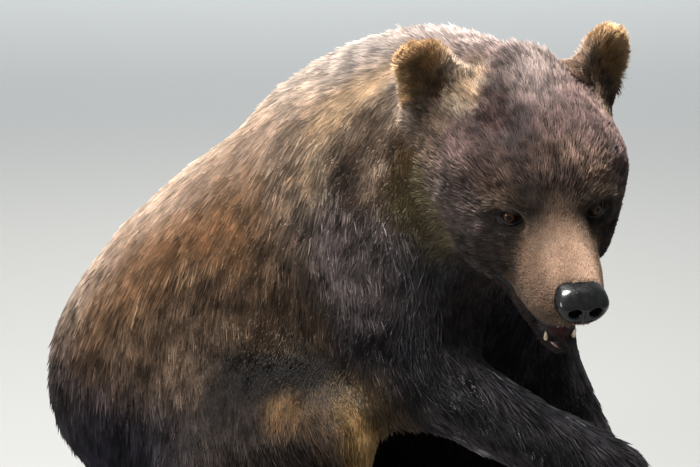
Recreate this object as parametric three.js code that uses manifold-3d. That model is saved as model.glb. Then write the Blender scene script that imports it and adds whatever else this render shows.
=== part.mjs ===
// A grizzly bear crouched on its haunches with its head low and turned to its right, life size, in
// millimetres. +X is the way the trunk faces, +Y is the bear's left and +Z is up from the floor.
// Its flesh is one field of rounded masses that melt into each other, drawn out to the tips of the
// coat. The field is meshed part by part, each at its own fineness, and parted by thin cuts.
import * as THREE from "three";
import { mergeVertices } from "three/addons/utils/BufferGeometryUtils.js";
import Module from "manifold-3d";

const wasm = await Module();
wasm.setup();
const vec = (x, y, z) => new THREE.Vector3(x, y, z);
const rad = THREE.MathUtils.degToRad;
const LEFT = vec(0, 1, 0);

// ---------------------------------------------------------------- driving sizes

const GAP = 0.5; // between two parts that meet
const MIDDLE = vec(11.2, -3.8, 0); // of the bear's outline on the floor, set over the origin at the end

// The centreline of the trunk from the rump to the root of the neck, with its half sizes: wide
// across the bear, deep from back to belly.
const SPINE = [
  { at: vec(-405, 0, 218), wide: 243, deep: 238 },
  { at: vec(-290, 0, 300), wide: 258, deep: 255 },
  { at: vec(-167, 0, 385), wide: 262, deep: 262 },
  { at: vec(-20, 0, 500), wide: 245, deep: 250 },
  { at: vec(75, 0, 560), wide: 205, deep: 222 },
];
const RUMP_END = SPINE[0].at;

// Joints of the limbs. The hind limbs mirror each other; the left foreleg stands straighter.
const RIGHT_FORELEG = {
  shoulder: vec(150, -175, 545),
  elbow: vec(150, -200, 320),
  wrist: vec(480, -72, 158),
  toes: vec(600, -25, 33),
};
const LEFT_FORELEG = {
  shoulder: vec(140, 160, 545),
  elbow: vec(150, 165, 330),
  wrist: vec(305, 155, 110),
  toes: vec(445, 148, 33),
};
const HINDLEG = {
  hip: vec(-320, -150, 190),
  knee: vec(75, -290, 200),
  hock: vec(-190, -300, 88),
  toes: vec(85, -322, 36),
};
const FORE_CLAW = { long: 78, thick: 8.5, bend: 62 };
const HIND_CLAW = { long: 44, thick: 7.5, bend: 48 };
const TOE_PITCH = 31;

// The head's own frame has its origin midway between the eyes, x to the nose, z to the crown.
const EYES_AT = vec(459, -201, 596);
const HEAD_TURN = -37.5;
const HEAD_TILT = 2.5;
const HEAD_DROOP = 24.5;
const EYE = { at: vec(-3, -69, 0), radius: 14 };
const CHEEK = { back: vec(-120, -87, 6), front: vec(-75, -67, -62) };
const MUZZLE = { back: vec(5, 0, -48), front: vec(156, 0, -64) };
const LIP = { front: vec(136, -27, -90), back: vec(58, -54, -106) };
const EAR = { root: vec(-222, -139, 75), tip: vec(-240, -152, 140), wide: [48, 52], deep: [27, 21] };
const JAW_OPEN = 18;
const CANINE = { long: 30, thick: 6 };

// How wide the faces of each part are meshed.
const CELL = { trunk: 98, neck: 74, tail: 50, head: 35, jaw: 32, ear: 19.5 };
const SMALL_CELL = { nose: 20, tongue: 12, eye: 12 };
const LIMB_CELL = { arm: 82, forearm: 60, forepaw: 42, thigh: 82, shank: 68, foot: 47, region: 84 };

// ---------------------------------------------------------------- fields of flesh

// A mass of flesh along a line, with an oval section that may taper. Each of wide, deep and cap
// is one half size or a pair for the two ends: wide lies along `side`, and cap is how far the
// rounded ends reach past the line's ends. The result is close to a distance, negative inside.
function mass({ from, to = from, wide, deep = wide, cap = deep, side = LEFT, run = vec(1, 0, 0) }) {
  const pair = (size) => (Array.isArray(size) ? size : [size, size]);
  const [w0, w1] = pair(wide);
  const [h0, h1] = pair(deep);
  const [c0, c1] = pair(cap);
  const length = from.distanceTo(to);
  const along = (length > 0 ? to.clone().sub(from) : run.clone()).normalize();
  const across = side.clone().addScaledVector(along, -side.dot(along)).normalize();
  const over = new THREE.Vector3().crossVectors(along, across);
  const field = (x, y, z) => {
    const px = x - from.x;
    const py = y - from.y;
    const pz = z - from.z;
    const far = px * along.x + py * along.y + pz * along.z;
    const t = length > 0 ? Math.min(1, Math.max(0, far / length)) : 0;
    const a = far - t * length;
    const s = px * across.x + py * across.y + pz * across.z;
    const u = px * over.x + py * over.y + pz * over.z;
    const w = w0 + (w1 - w0) * t;
    const h = h0 + (h1 - h0) * t;
    const c = c0 + (c1 - c0) * t;
    const near = Math.hypot(a / c, s / w, u / h);
    const steep = Math.hypot(a / (c * c), s / (w * w), u / (h * h));
    return near < 1e-6 ? -Math.min(w, h) : (near * (near - 1)) / steep;
  };
  const reach = Math.max(w0, w1, h0, h1, c0, c1);
  field.box = new THREE.Box3().setFromPoints([from, to]).expandByScalar(reach);
  field.thin = Math.min(w0, w1, h0, h1, c0, c1);
  return field;
}

// The smaller of two distances, rounded over `reach` where they meet, as flesh fills a crease.
function melt(a, b, reach) {
  const h = Math.max(reach - Math.abs(a - b), 0) / reach;
  return Math.min(a, b) - (h * h * reach) / 4;
}

// Masses melted together one after another. Each entry is a field, or [field, its own reach].
function flesh(reach, entries) {
  const list = entries.map((entry) => (Array.isArray(entry) ? entry : [entry, reach]));
  const field = (x, y, z) => {
    let d = list[0][0](x, y, z);
    for (let i = 1; i < list.length; i++) d = melt(d, list[i][0](x, y, z), list[i][1]);
    return d;
  };
  field.box = list.reduce((box, [part]) => box.union(part.box), new THREE.Box3());
  return field;
}

// A field with another one scooped out of it, its rim rounded over `reach`.
const scooped = (field, hollow, reach) => {
  const left = (x, y, z) => -melt(-field(x, y, z), hollow(x, y, z), reach);
  return Object.assign(left, { box: field.box });
};
const mirrored = (field) => {
  const { min, max } = field.box;
  const box = new THREE.Box3(vec(min.x, -max.y, min.z), vec(max.x, -min.y, max.z));
  return Object.assign((x, y, z) => field(x, -y, z), { box, thin: field.thin });
};
const bothSides = (field) => {
  const box = field.box.clone().union(mirrored(field).box);
  return Object.assign((x, y, z) => field(x, -Math.abs(y), z), { box });
};

// ---------------------------------------------------------------- trunk and tail

const ribcage = SPINE.slice(1).map((end, i) => {
  const start = SPINE[i];
  return mass({
    from: start.at,
    to: end.at,
    wide: [start.wide, end.wide],
    deep: [start.deep, end.deep],
  });
});
const hump = mass({ from: vec(-50, 10, 648), to: vec(95, -15, 677), wide: 125, deep: [124, 120], cap: 112 });
const chest = mass({ from: vec(130, -5, 470), wide: 170, deep: 165, cap: 125 });
const shoulders = bothSides(
  mass({ from: vec(60, -125, 620), to: vec(140, -165, 500), wide: [95, 108], deep: [130, 125] }),
);
const flank = bothSides(
  mass({ from: vec(-170, -160, 395), to: vec(-25, -165, 412), wide: 102, deep: 105, cap: 95 }),
);
const trunk = flesh(60, [...ribcage, [hump, 110], [chest, 90], [shoulders, 70], [flank, 50]]);

const tailRoot = RUMP_END.clone().add(vec(-212, 0, 10));
const tailTip = tailRoot.clone().add(vec(-24, 0, -85));
const tail = mass({ from: tailRoot, to: tailTip, wide: [44, 32], cap: 30 });

// ---------------------------------------------------------------- limbs

// The five toes of a foot, side by side at the end of its sole.
function toes(heel, tip, radius) {
  const ahead = tip.clone().sub(heel).setZ(0).normalize();
  const across = vec(-ahead.y, ahead.x, 0);
  return [-2, -1, 0, 1, 2].map((i) => {
    const at = tip.clone().addScaledVector(across, i * TOE_PITCH).addScaledVector(ahead, -4 * i * i);
    at.z = radius - 3;
    return { at, ahead: ahead.clone().addScaledVector(across, i * 0.07).normalize() };
  });
}

function foreleg({ shoulder, elbow, wrist, toes: tip }) {
  return flesh(45, [
    mass({ from: shoulder, to: elbow, wide: [100, 78], deep: [125, 98] }),
    mass({ from: elbow, to: wrist, wide: [78, 62], deep: [92, 60] }),
    mass({ from: wrist, to: tip, wide: [66, 76], deep: [50, 36] }),
    ...toes(wrist, tip, 27).map(({ at }) => [mass({ from: at, wide: 25, deep: 27 }), 14]),
  ]);
}
const foreRight = foreleg(RIGHT_FORELEG);
const foreLeft = foreleg(LEFT_FORELEG);

const heel = HINDLEG.hock.clone().add(vec(-15, 0, -48));
const hindleg = flesh(55, [
  mass({ from: HINDLEG.hip, to: HINDLEG.knee, wide: [135, 92], deep: [185, 100] }),
  mass({ from: HINDLEG.knee, to: HINDLEG.hock, wide: [84, 60], deep: [88, 62] }),
  mass({ from: heel, to: HINDLEG.toes, wide: [56, 74], deep: [44, 36] }),
  ...toes(heel, HINDLEG.toes, 26).map(({ at }) => [mass({ from: at, wide: 25, deep: 26 }), 14]),
]);

// ---------------------------------------------------------------- head and neck

const headFrame = new THREE.Group();
headFrame.position.copy(EYES_AT);
headFrame.rotation.set(rad(HEAD_TILT), rad(HEAD_DROOP), rad(HEAD_TURN), "ZYX");
headFrame.updateMatrixWorld(true);
const headPoint = (p) => p.clone().applyMatrix4(headFrame.matrixWorld);
const headWay = (p) => p.clone().transformDirection(headFrame.matrixWorld);
const inHead = (field) => {
  const m = headFrame.matrixWorld.clone().invert().elements;
  const turned = (x, y, z) =>
    field(
      m[0] * x + m[4] * y + m[8] * z + m[12],
      m[1] * x + m[5] * y + m[9] * z + m[13],
      m[2] * x + m[6] * y + m[10] * z + m[14],
    );
  const box = field.box.clone().applyMatrix4(headFrame.matrixWorld);
  return Object.assign(turned, { box, thin: field.thin });
};

const face = bothSides(
  flesh(55, [
    mass({ from: vec(-130, 0, -3), wide: 145, deep: 126, cap: 140 }), // skull
    mass({ from: vec(-75, 0, 40), wide: 100, deep: 58, cap: 85 }), // forehead
    [mass({ from: vec(-28, -58, 26), wide: 34, deep: 22, cap: 38 }), 26], // brow
    mass({ from: CHEEK.back, to: CHEEK.front, wide: [64, 50], deep: [78, 60], cap: 60 }),
    mass({ from: vec(-45, -54, -62), wide: 56, deep: 70, cap: 76 }), // chewing muscle
    [mass({ from: MUZZLE.back, to: MUZZLE.front, wide: [74, 47], deep: [58, 46], cap: 32 }), 40],
    [mass({ from: LIP.front, to: LIP.back, wide: 27, deep: 27, cap: 24 }), 22],
  ]),
);
const hollowEyes = bothSides(mass({ from: vec(13, -86, 3), wide: 22, deep: 15, cap: 24 }));
const hinge = vec(-85, 0, -95);
const jawAxis = vec(1, 0, -0.12).applyAxisAngle(LEFT, rad(JAW_OPEN));
const jawPoint = (far, up) => hinge.clone().addScaledVector(jawAxis, far).add(vec(0, 0, up));
const jaw = flesh(30, [
  mass({
    from: jawPoint(10, -12),
    to: jawPoint(212, 0),
    wide: [92, 33],
    deep: [48, 24],
    cap: [40, 26],
  }),
  bothSides(mass({ from: jawPoint(0, -5), wide: 80, deep: 62, cap: 75 })),
]);
const EAR_SIDE = vec(0.35, 0.94, 0);
const earCup = mass({
  from: EAR.tip.clone().add(vec(20, -12, -8)),
  wide: 34,
  deep: 20,
  cap: 46,
  side: EAR_SIDE,
  run: EAR.tip.clone().sub(EAR.root),
});
const earShell = mass({ ...EAR, from: EAR.root, to: EAR.tip, cap: 48, side: EAR_SIDE });
const ears = bothSides(scooped(earShell, earCup, 10));
const upperHead = scooped(face, hollowEyes, 8);
const head = inHead(flesh(26, [upperHead, [jaw, 16], ears]));
const nose = inHead(mass({ from: vec(176, 0, -54), wide: 42, deep: 34, cap: 24 }));
const throat = mass({
  from: vec(85, -10, 625),
  to: headPoint(vec(-165, 0, -25)),
  wide: [205, 160],
  deep: [190, 156],
});
const nape = mass({
  from: vec(120, -15, 700),
  to: vec(325, -95, 730),
  wide: [120, 105],
  cap: 80,
});
const neck = flesh(60, [throat, nape]);

// ---------------------------------------------------------------- the whole body

// The legs melt into the trunk but not into each other: the lesser of two fields is a plain crease.
const lesser = (a, b) => Object.assign((x, y, z) => Math.min(a(x, y, z), b(x, y, z)), { box: a.box });
const forelegs = lesser(foreRight, foreLeft);
const core = flesh(45, [trunk, [neck, 60], head]);
const foreFlesh = flesh(50, [trunk, [neck, 60], forelegs]);
const withHind = flesh(60, [core, bothSides(hindleg)]);
const body = flesh(30, [lesser(flesh(50, [core, forelegs]), withHind), tail]);

// ---------------------------------------------------------------- meshing

// Which corners of a grid cell hang together: the same sign along its edges, and the outside ones
// across its faces too. Corner numbers are x + 2y + 4z.
function cornerGroups(inside) {
  const group = [0, 1, 2, 3, 4, 5, 6, 7];
  for (const apart of [1, 2, 4, 3, 5, 6])
    for (let a = 0; a < 8; a++) {
      const b = a ^ apart;
      if (inside[a] !== inside[b] || (inside[a] && ![1, 2, 4].includes(apart))) continue;
      const [old, kept] = [group[b], group[a]];
      group.forEach((label, corner) => (group[corner] = label === old ? kept : label));
    }
  return group;
}

// The closed surface of a field inside a box, as a solid whose quads are about `cell` across.
// In each grid cell every sheet of the surface gets one vertex, which is then drawn onto the field.
function surface(field, box, cell) {
  const low = box.min.clone().subScalar(cell * 1.5);
  const span = box.max.clone().addScalar(cell * 1.5).sub(low);
  const n = span.toArray().map((side) => Math.ceil(side / cell) + 1);
  const at = (i, j, k) => i + n[0] * (j + n[1] * k);
  const step = [1, n[0], n[0] * n[1]];
  const value = new Float64Array(n[0] * n[1] * n[2]);
  const vertexOf = new Int32Array(value.length * 12);
  const points = [];
  const everyCell = (visit) => {
    for (let k = 0; k < n[2]; k++)
      for (let j = 0; j < n[1]; j++) for (let i = 0; i < n[0]; i++) visit(i, j, k);
  };

  everyCell((i, j, k) => {
    const rim = [i, j, k].some((index, axis) => index === 0 || index === n[axis] - 1);
    const d = field(low.x + i * cell, low.y + j * cell, low.z + k * cell);
    value[at(i, j, k)] = rim ? Math.max(d, cell / 4) : d;
  });

  everyCell((i, j, k) => {
    if (i === n[0] - 1 || j === n[1] - 1 || k === n[2] - 1) return;
    const corners = [0, 1, 2, 3, 4, 5, 6, 7].map(
      (c) => value[at(i + (c & 1), j + ((c >> 1) & 1), k + (c >> 2))],
    );
    const inside = corners.map((d) => d < 0);
    if (inside.every((one) => one === inside[0])) return;
    const group = cornerGroups(inside);
    const sheets = new Map();
    for (let axis = 0; axis < 3; axis++)
      for (let spoke = 0; spoke < 4; spoke++) {
        const u = (axis + 1) % 3;
        const v = (axis + 2) % 3;
        const a = ((spoke & 1) << u) | ((spoke >> 1) << v);
        const b = a | (1 << axis);
        if (inside[a] === inside[b]) continue;
        const crossing = [0, 0, 0];
        crossing[u] = spoke & 1;
        crossing[v] = spoke >> 1;
        crossing[axis] = corners[a] / (corners[a] - corners[b]);
        const key = inside[a] ? group[a] * 8 + group[b] : group[b] * 8 + group[a];
        const index = points.length + sheets.size;
        if (!sheets.has(key)) sheets.set(key, { sum: vec(0, 0, 0), count: 0, index });
        const sheet = sheets.get(key);
        sheet.sum.add(vec(...crossing));
        sheet.count++;
        vertexOf[12 * at(i, j, k) + 4 * axis + spoke] = sheet.index;
      }
    const inner = [i, j, k].every((index, axis) => index > 0 && index < n[axis] - 2);
    for (const { sum, count } of sheets.values()) {
      const p = sum.divideScalar(count).add(vec(i, j, k)).multiplyScalar(cell).add(low);
      points.push(inner ? drawnOnto(field, p, cell) : p);
    }
  });

  const faces = [];
  everyCell((i, j, k) => {
    const here = at(i, j, k);
    for (let axis = 0; axis < 3; axis++) {
      if ([i, j, k][axis] === n[axis] - 1) continue;
      const inside = value[here] < 0;
      if (inside === value[here + step[axis]] < 0) continue;
      const u = step[(axis + 1) % 3];
      const v = step[(axis + 2) % 3];
      const around = [[here - u - v, 3], [here - v, 2], [here, 0], [here - u, 1]];
      const quad = around.map(([cellAt, spoke]) => vertexOf[12 * cellAt + 4 * axis + spoke]);
      if (!inside) quad.reverse();
      faces.push(...splitQuad(quad, points));
    }
  });
  return solid(points, faces);
}

// A point moved along the field's slope until the field is nought there.
function drawnOnto(field, p, cell) {
  const e = 0.5;
  const start = p.clone();
  for (let round = 0; round < 3; round++) {
    const d = field(p.x, p.y, p.z);
    const slope = vec(
      field(p.x + e, p.y, p.z) - field(p.x - e, p.y, p.z),
      field(p.x, p.y + e, p.z) - field(p.x, p.y - e, p.z),
      field(p.x, p.y, p.z + e) - field(p.x, p.y, p.z - e),
    ).divideScalar(2 * e);
    p.addScaledVector(slope, -d / Math.max(slope.lengthSq(), 0.25));
  }
  return p.sub(start).clampLength(0, cell / 2).add(start);
}

// The two triangles of a quad, cut along its shorter diagonal.
function splitQuad([a, b, c, d], points) {
  const shorter = points[a].distanceTo(points[c]) < points[b].distanceTo(points[d]);
  return shorter ? [a, b, c, a, c, d] : [a, b, d, b, c, d];
}

// ---------------------------------------------------------------- solids and cuts

const solid = (points, faces) =>
  new wasm.Manifold(
    new wasm.Mesh({
      numProp: 3,
      vertProperties: new Float32Array(points.flatMap((p) => p.toArray())),
      triVerts: new Uint32Array(faces),
    }),
  );

// A region that one part is kept inside of, and its swollen double that the neighbours are cut with.
function region(field, cell) {
  const made = surface(field, field.box, cell);
  const middle = field.box.getCenter(vec(0, 0, 0));
  const swell = 1 + (1.6 * GAP) / field.thin;
  const home = middle.toArray();
  const wide = made.translate(home.map((c) => -c)).scale(swell).translate(home);
  return { made, wide, box: field.box };
}
// A block in the head's frame, sloped nose down by `slope` degrees, as such a region.
function block(size, middle, slope) {
  const box = new THREE.BoxGeometry(...size.toArray()).deleteAttribute("normal").deleteAttribute("uv");
  const shape = mergeVertices(box).rotateY(rad(slope)).translate(...middle.toArray());
  const corners = shape.applyMatrix4(headFrame.matrixWorld).getAttribute("position");
  const points = Array.from({ length: 8 }, (_, i) => new THREE.Vector3().fromBufferAttribute(corners, i));
  const home = headPoint(middle);
  const faces = Array.from(shape.index.array);
  const wide = points.map((p) => p.clone().sub(home).multiplyScalar(1 + (2 * GAP) / size.z).add(home));
  return { made: solid(points, faces), wide: solid(wide, faces) };
}
// The flesh of a region a little swollen, to cut its neighbours with.
const swollen = (field, part, cell) =>
  surface((x, y, z) => field(x, y, z) - 12, part.box, cell).intersect(part.wide);
const within = (part) => (made) => made.intersect(part.made);
const without = (part) => (made) => made.subtract(part.wide);

// The two sides of a plane through a point, half a gap away from it each.
const plane = (point, normal) => ({ point, normal: normal.clone().normalize() });
const ahead = ({ point, normal }, gap = GAP) => (made) =>
  made.trimByPlane(normal.toArray(), normal.dot(point) + gap / 2);
const behind = ({ point, normal }, gap) => ahead({ point, normal: normal.clone().negate() }, gap);
const ground = (made) => made.trimByPlane([0, 0, 1], 0);

// A field meshed inside a box and cut to shape; loose crumbs that the cuts leave are dropped.
const cutBy = (made, cuts) => cuts.reduce((left, cut) => cut(left), made);
const largest = (made) => made.decompose().sort((a, b) => b.volume() - a.volume())[0];
const piece = (field, box, cell, ...cuts) => largest(cutBy(surface(field, box, cell), cuts));

// A horn along a line of points, closed at its root and sharp at its tip.
function horn(points, across, thick, sides = 4) {
  const rings = points.slice(0, -1).flatMap((p, i) => {
    const along = points[i + 1].clone().sub(p).normalize();
    const over = new THREE.Vector3().crossVectors(along, across);
    const r = thick * (1 - i / (points.length - 1)) ** 0.6;
    return Array.from({ length: sides }, (_, s) => {
      const angle = ((s + 0.5) * 2 * Math.PI) / sides;
      const offset = across.clone().multiplyScalar(Math.cos(angle));
      return p.clone().addScaledVector(offset.addScaledVector(over, 1.2 * Math.sin(angle)), r);
    });
  });
  const tip = rings.length;
  const faces = [];
  for (let s = 0; s < sides; s++) {
    const next = (s + 1) % sides;
    for (let ring = 0; ring + sides < tip; ring += sides)
      for (const corner of [0, next - s, sides + next - s, 0, sides + next - s, sides])
        faces.push(ring + s + corner);
    faces.push(tip - sides + s, tip - sides + next, tip);
    if (s > 0 && s < sides - 1) faces.push(0, s + 1, s);
  }
  return solid([...rings, points[points.length - 1]], faces);
}

// Points along an arc that starts along `way` and bends towards `down` by `bend` degrees.
function arc(root, way, down, long, bend, steps = 3) {
  const points = [root.clone()];
  for (let i = 0; i < steps; i++) {
    const angle = rad((bend * (i + 0.5)) / steps);
    const chord = way.clone().multiplyScalar(Math.cos(angle)).addScaledVector(down, Math.sin(angle));
    points.push(points[i].clone().addScaledVector(chord, long / steps));
  }
  return points;
}

// A claw or tooth as a region, so that the flesh around its root can be cut to take it.
function spike(root, way, down, across, { long, thick, bend = 0 }) {
  const points = arc(root, way, down, long, bend);
  const sunk = root.clone().lerp(points[1], -0.1);
  return {
    made: horn(points, across, thick),
    wide: horn([sunk, ...points.slice(1)], across, thick * 1.18),
  };
}

const claws = (footToes, shape) =>
  footToes.map(({ at, ahead: way }) => {
    const across = vec(-way.y, way.x, 0);
    const root = at.clone().addScaledVector(way, 12).add(vec(0, 0, 14));
    const rising = way.clone().add(vec(0, 0, 0.22)).normalize();
    const down = new THREE.Vector3().crossVectors(rising, across).negate();
    return spike(root, rising, down, across, shape);
  });

// ---------------------------------------------------------------- where the parts are cut

const neckBack = plane(vec(80, 0, 840), vec(0.87, 0, 0.494));
const armpit = plane(vec(215, 0, 290), vec(0.8, 0, -0.6));
const headBack = plane(headPoint(vec(-262, 0, 90)), headWay(vec(0.892, 0, 0.452)));
const legSplit = plane(vec(75, 0, 190), vec(-0.203, 0, 0.979));
const footTop = plane(vec(0, 0, 76), vec(0, 0, 1));
const heelBack = plane(vec(-268, 0, 0), vec(1, 0, 0));
const wristOf = ({ elbow, wrist }) => plane(wrist, wrist.clone().sub(elbow));

const armRight = region(
  mass({ from: vec(112, -265, 565), to: vec(155, -265, 335), wide: 172, deep: 160, cap: 120 }),
  LIMB_CELL.region,
);
const armLeft = region(
  mass({ from: vec(112, 260, 565), to: vec(155, 245, 340), wide: 172, deep: 160, cap: 118 }),
  LIMB_CELL.region,
);
const haunch = mass({ from: vec(-250, -290, 175), to: vec(40, -310, 185), wide: 160, deep: 235, cap: 170 });
const legRight = region(haunch, LIMB_CELL.region);
const legLeft = region(mirrored(haunch), LIMB_CELL.region);
const tailRegion = region(
  mass({ from: tailRoot, to: tailTip, wide: [56, 44], cap: 42 }),
  CELL.tail,
);
const earRegion = mass({ from: EAR.root, to: EAR.tip, wide: 74, deep: 50, cap: 76, side: EAR_SIDE });
const earRight = region(inHead(earRegion), CELL.tail);
const earLeft = region(inHead(mirrored(earRegion)), CELL.tail);
const noseRegion = region(nose, SMALL_CELL.nose);
const jawBlock = block(vec(300, 400, 200), vec(66, 0, -239), 10.8);
const tongueRegion = region(
  inHead(mass({ from: jawPoint(165, 28), to: jawPoint(198, 24), wide: 15, deep: 12, cap: 14 })),
  SMALL_CELL.tongue,
);

// An eyeball, as a region.
const eyeball = (side) => {
  const ball = inHead(mass({ from: EYE.at.clone().multiply(vec(1, side, 1)), wide: EYE.radius }));
  return region(ball, SMALL_CELL.eye);
};
const socket = mass({ from: vec(11, -81, 2), wide: 19, deep: 15, cap: 22 });
const socketRight = region(inHead(socket), SMALL_CELL.eye);
const socketLeft = region(inHead(mirrored(socket)), SMALL_CELL.eye);
const eyeRight = eyeball(1);
const eyeLeft = eyeball(-1);

const canine = (root, way) =>
  spike(headPoint(root), headWay(way), headWay(vec(1, 0, 0)), headWay(LEFT), CANINE);
const upperCanines = [-1, 1].map((side) => canine(vec(150, side * 25, -96), vec(0.1, 0, -1)));
const lowerCanines = [-1, 1].map((side) =>
  canine(jawPoint(203, 8).setY(side * 23), vec(0.15, side * 0.12, 1)),
);

// ---------------------------------------------------------------- the parts

const FUR = { color: 0x5a3d28, roughness: 0.95 };
const HORN = { color: 0x3a2c20, roughness: 0.45 };
const TOOTH = { color: 0xe6dcc0, roughness: 0.35 };
const EYE_LOOK = { color: 0x3a1c0a, roughness: 0.08 };
const NOSE_LOOK = { color: 0x14110f, roughness: 0.3 };
const TONGUE_LOOK = { color: 0xa5605c, roughness: 0.45 };

const SIDES = ["right", "left"];
const bear = new THREE.Group();
function add(name, made, look = FUR) {
  const { vertProperties, triVerts } = made.getMesh();
  const geometry = new THREE.BufferGeometry();
  geometry.setAttribute("position", new THREE.BufferAttribute(vertProperties, 3));
  geometry.setIndex(new THREE.BufferAttribute(triVerts, 1));
  geometry.translate(...MIDDLE.toArray().map((c) => -c));
  const mesh = new THREE.Mesh(geometry, new THREE.MeshStandardMaterial(look));
  mesh.name = name;
  bear.add(mesh);
}

const TRUNK_BOX = new THREE.Box3(vec(-690, -330, -40), vec(380, 330, 880));
const limbs = [armRight, armLeft, legRight, legLeft].map(without);

const noEars = [without(earRight), without(earLeft)];
const trunkCuts = [behind(neckBack), behind(armpit), ground, ...limbs, without(tailRegion)];
add("trunk", piece(body, TRUNK_BOX, CELL.trunk, ...trunkCuts));
const neckCuts = [ahead(neckBack), behind(headBack), ...limbs, ...noEars];
add("neck", piece(core, neck.box, CELL.neck, ...neckCuts));
add("tail", piece(body, tailRegion.box, CELL.tail, within(tailRegion)));

const sockets = [socketRight, socketLeft, eyeRight, eyeLeft, noseRegion, ...upperCanines];
const mouthful = [tongueRegion, ...lowerCanines].map(without);
const armRooms = [armRight, armLeft].map((arm) => swollen(foreFlesh, arm, LIMB_CELL.arm));
const clearOfArms = (made) => made.subtract(armRooms[0]).subtract(armRooms[1]);
const headCuts = [without(jawBlock), ...noEars, ...sockets.map(without), ...mouthful, clearOfArms];
add("head", piece(core, head.box, CELL.head, ahead(neckBack), ahead(headBack), ...headCuts));
add("jaw", piece(core, head.box, CELL.jaw, ahead(headBack), within(jawBlock), ...mouthful));
add("ear_right", piece(core, earRight.box, CELL.ear, within(earRight)));
add("ear_left", piece(core, earLeft.box, CELL.ear, within(earLeft)));
add("eye_right", eyeRight.made, EYE_LOOK);
add("eye_left", eyeLeft.made, EYE_LOOK);
add("nose", noseRegion.made, NOSE_LOOK);
add("tongue", tongueRegion.made, TONGUE_LOOK);
upperCanines.forEach(({ made }, i) => add(`canine_upper_${SIDES[i]}`, made, TOOTH));
lowerCanines.forEach(({ made }, i) => add(`canine_lower_${SIDES[i]}`, made, TOOTH));

for (const [side, leg, arm, foreField, haunchRegion] of [
  ["right", RIGHT_FORELEG, armRight, foreRight, legRight],
  ["left", LEFT_FORELEG, armLeft, foreLeft, legLeft],
]) {
  const legRoom = swollen(withHind, haunchRegion, LIMB_CELL.thigh);
  const clearOfLeg = (made) => made.subtract(legRoom);
  const wristPlane = wristOf(leg);
  const foreClaws = claws(toes(leg.wrist, leg.toes, 27), FORE_CLAW);
  add(`upper_arm_${side}`, piece(foreFlesh, arm.box, LIMB_CELL.arm, within(arm), clearOfLeg));
  const legPiece = (cell, ...cuts) => piece(foreField, foreField.box, cell, without(arm), ...cuts);
  const forearmCuts = [clearOfLeg, ahead(armpit), behind(wristPlane)];
  add(`forearm_${side}`, legPiece(LIMB_CELL.forearm, ...forearmCuts));
  const pawCuts = [ahead(wristPlane), ground, ...foreClaws.map(without)];
  add(`forepaw_${side}`, legPiece(LIMB_CELL.forepaw, ...pawCuts));
  foreClaws.forEach(({ made }, i) => add(`foreclaw_${side}_${i + 1}`, made, HORN));

  const mirror = (p) => (side === "left" ? p.clone().multiply(vec(1, -1, 1)) : p.clone());
  const hindClaws = claws(toes(mirror(heel), mirror(HINDLEG.toes), 26), HIND_CLAW);
  const shinSide = plane(mirror(vec(0, -224, 0)), mirror(vec(0, -1, 0)));
  const legMesh = (cell, ...cuts) =>
    piece(withHind, haunchRegion.box, cell, within(haunchRegion), ground, ...cuts);
  const shin = (gap) => [behind(legSplit, gap), ahead(heelBack, gap), ahead(shinSide, gap)];
  const shinRoom = cutBy(haunchRegion.wide, shin(-GAP));
  add(`thigh_${side}`, legMesh(LIMB_CELL.thigh, (made) => made.subtract(shinRoom)));
  add(`shank_${side}`, legMesh(LIMB_CELL.shank, ...shin(GAP), ahead(footTop)));
  const footCuts = [...shin(GAP), behind(footTop), ...hindClaws.map(without)];
  add(`hind_foot_${side}`, legMesh(LIMB_CELL.foot, ...footCuts));
  hindClaws.forEach(({ made }, i) => add(`hindclaw_${side}_${i + 1}`, made, HORN));
}

export default bear;
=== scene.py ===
# %% [markdown]
# # A grizzly bear on its haunches, life size
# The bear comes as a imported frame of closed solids: trunk, neck, head, legs, claws, eyes. This
# lesson gives it its looks. One skin is grown from the solids of flesh, a coat of solid tufts is
# laid over it, and the eyes, nose, mouth and claws are finished one by one. Everything is in
# metres: +X is the way the trunk faces, +Y is the bear's left and +Z is up.

# %% Load the frame
from dataclasses import dataclass
from math import cos, radians, sin

import bmesh
import bpy
import numpy as np
from mathutils import Euler, Matrix, Vector, noise


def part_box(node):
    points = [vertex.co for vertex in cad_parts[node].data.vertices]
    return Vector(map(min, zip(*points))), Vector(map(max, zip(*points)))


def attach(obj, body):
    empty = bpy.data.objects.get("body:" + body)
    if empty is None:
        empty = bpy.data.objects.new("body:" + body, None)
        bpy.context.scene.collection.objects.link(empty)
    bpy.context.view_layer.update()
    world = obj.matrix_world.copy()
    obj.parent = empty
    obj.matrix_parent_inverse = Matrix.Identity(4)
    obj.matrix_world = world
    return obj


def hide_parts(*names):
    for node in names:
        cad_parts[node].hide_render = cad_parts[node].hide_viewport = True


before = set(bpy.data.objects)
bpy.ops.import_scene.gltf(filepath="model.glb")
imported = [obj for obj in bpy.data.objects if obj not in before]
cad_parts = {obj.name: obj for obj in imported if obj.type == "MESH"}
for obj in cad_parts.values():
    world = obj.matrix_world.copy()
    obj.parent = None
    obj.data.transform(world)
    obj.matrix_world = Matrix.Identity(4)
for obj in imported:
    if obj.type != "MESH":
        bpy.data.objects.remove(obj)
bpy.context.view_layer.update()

# %% [markdown]
# ## The head's own axes
# The head is turned, tilted and drooped, so its features are easiest to place in axes of its own:
# x to the nose, y to its left ear and z to its crown, from a point midway between the eyes.

# %% Head axes
HEAD_TURN, HEAD_DROOP, HEAD_TILT = radians(-37.5), radians(24.5), radians(2.5)
EYE_BACK = 0.003  # the eyes' centres lie this far behind the origin
head_turn = Euler((HEAD_TILT, HEAD_DROOP, HEAD_TURN)).to_matrix()
HEAD_AXES = np.array(head_turn)


def middle_of(name):
    low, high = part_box(name)
    return (low + high) / 2


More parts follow.
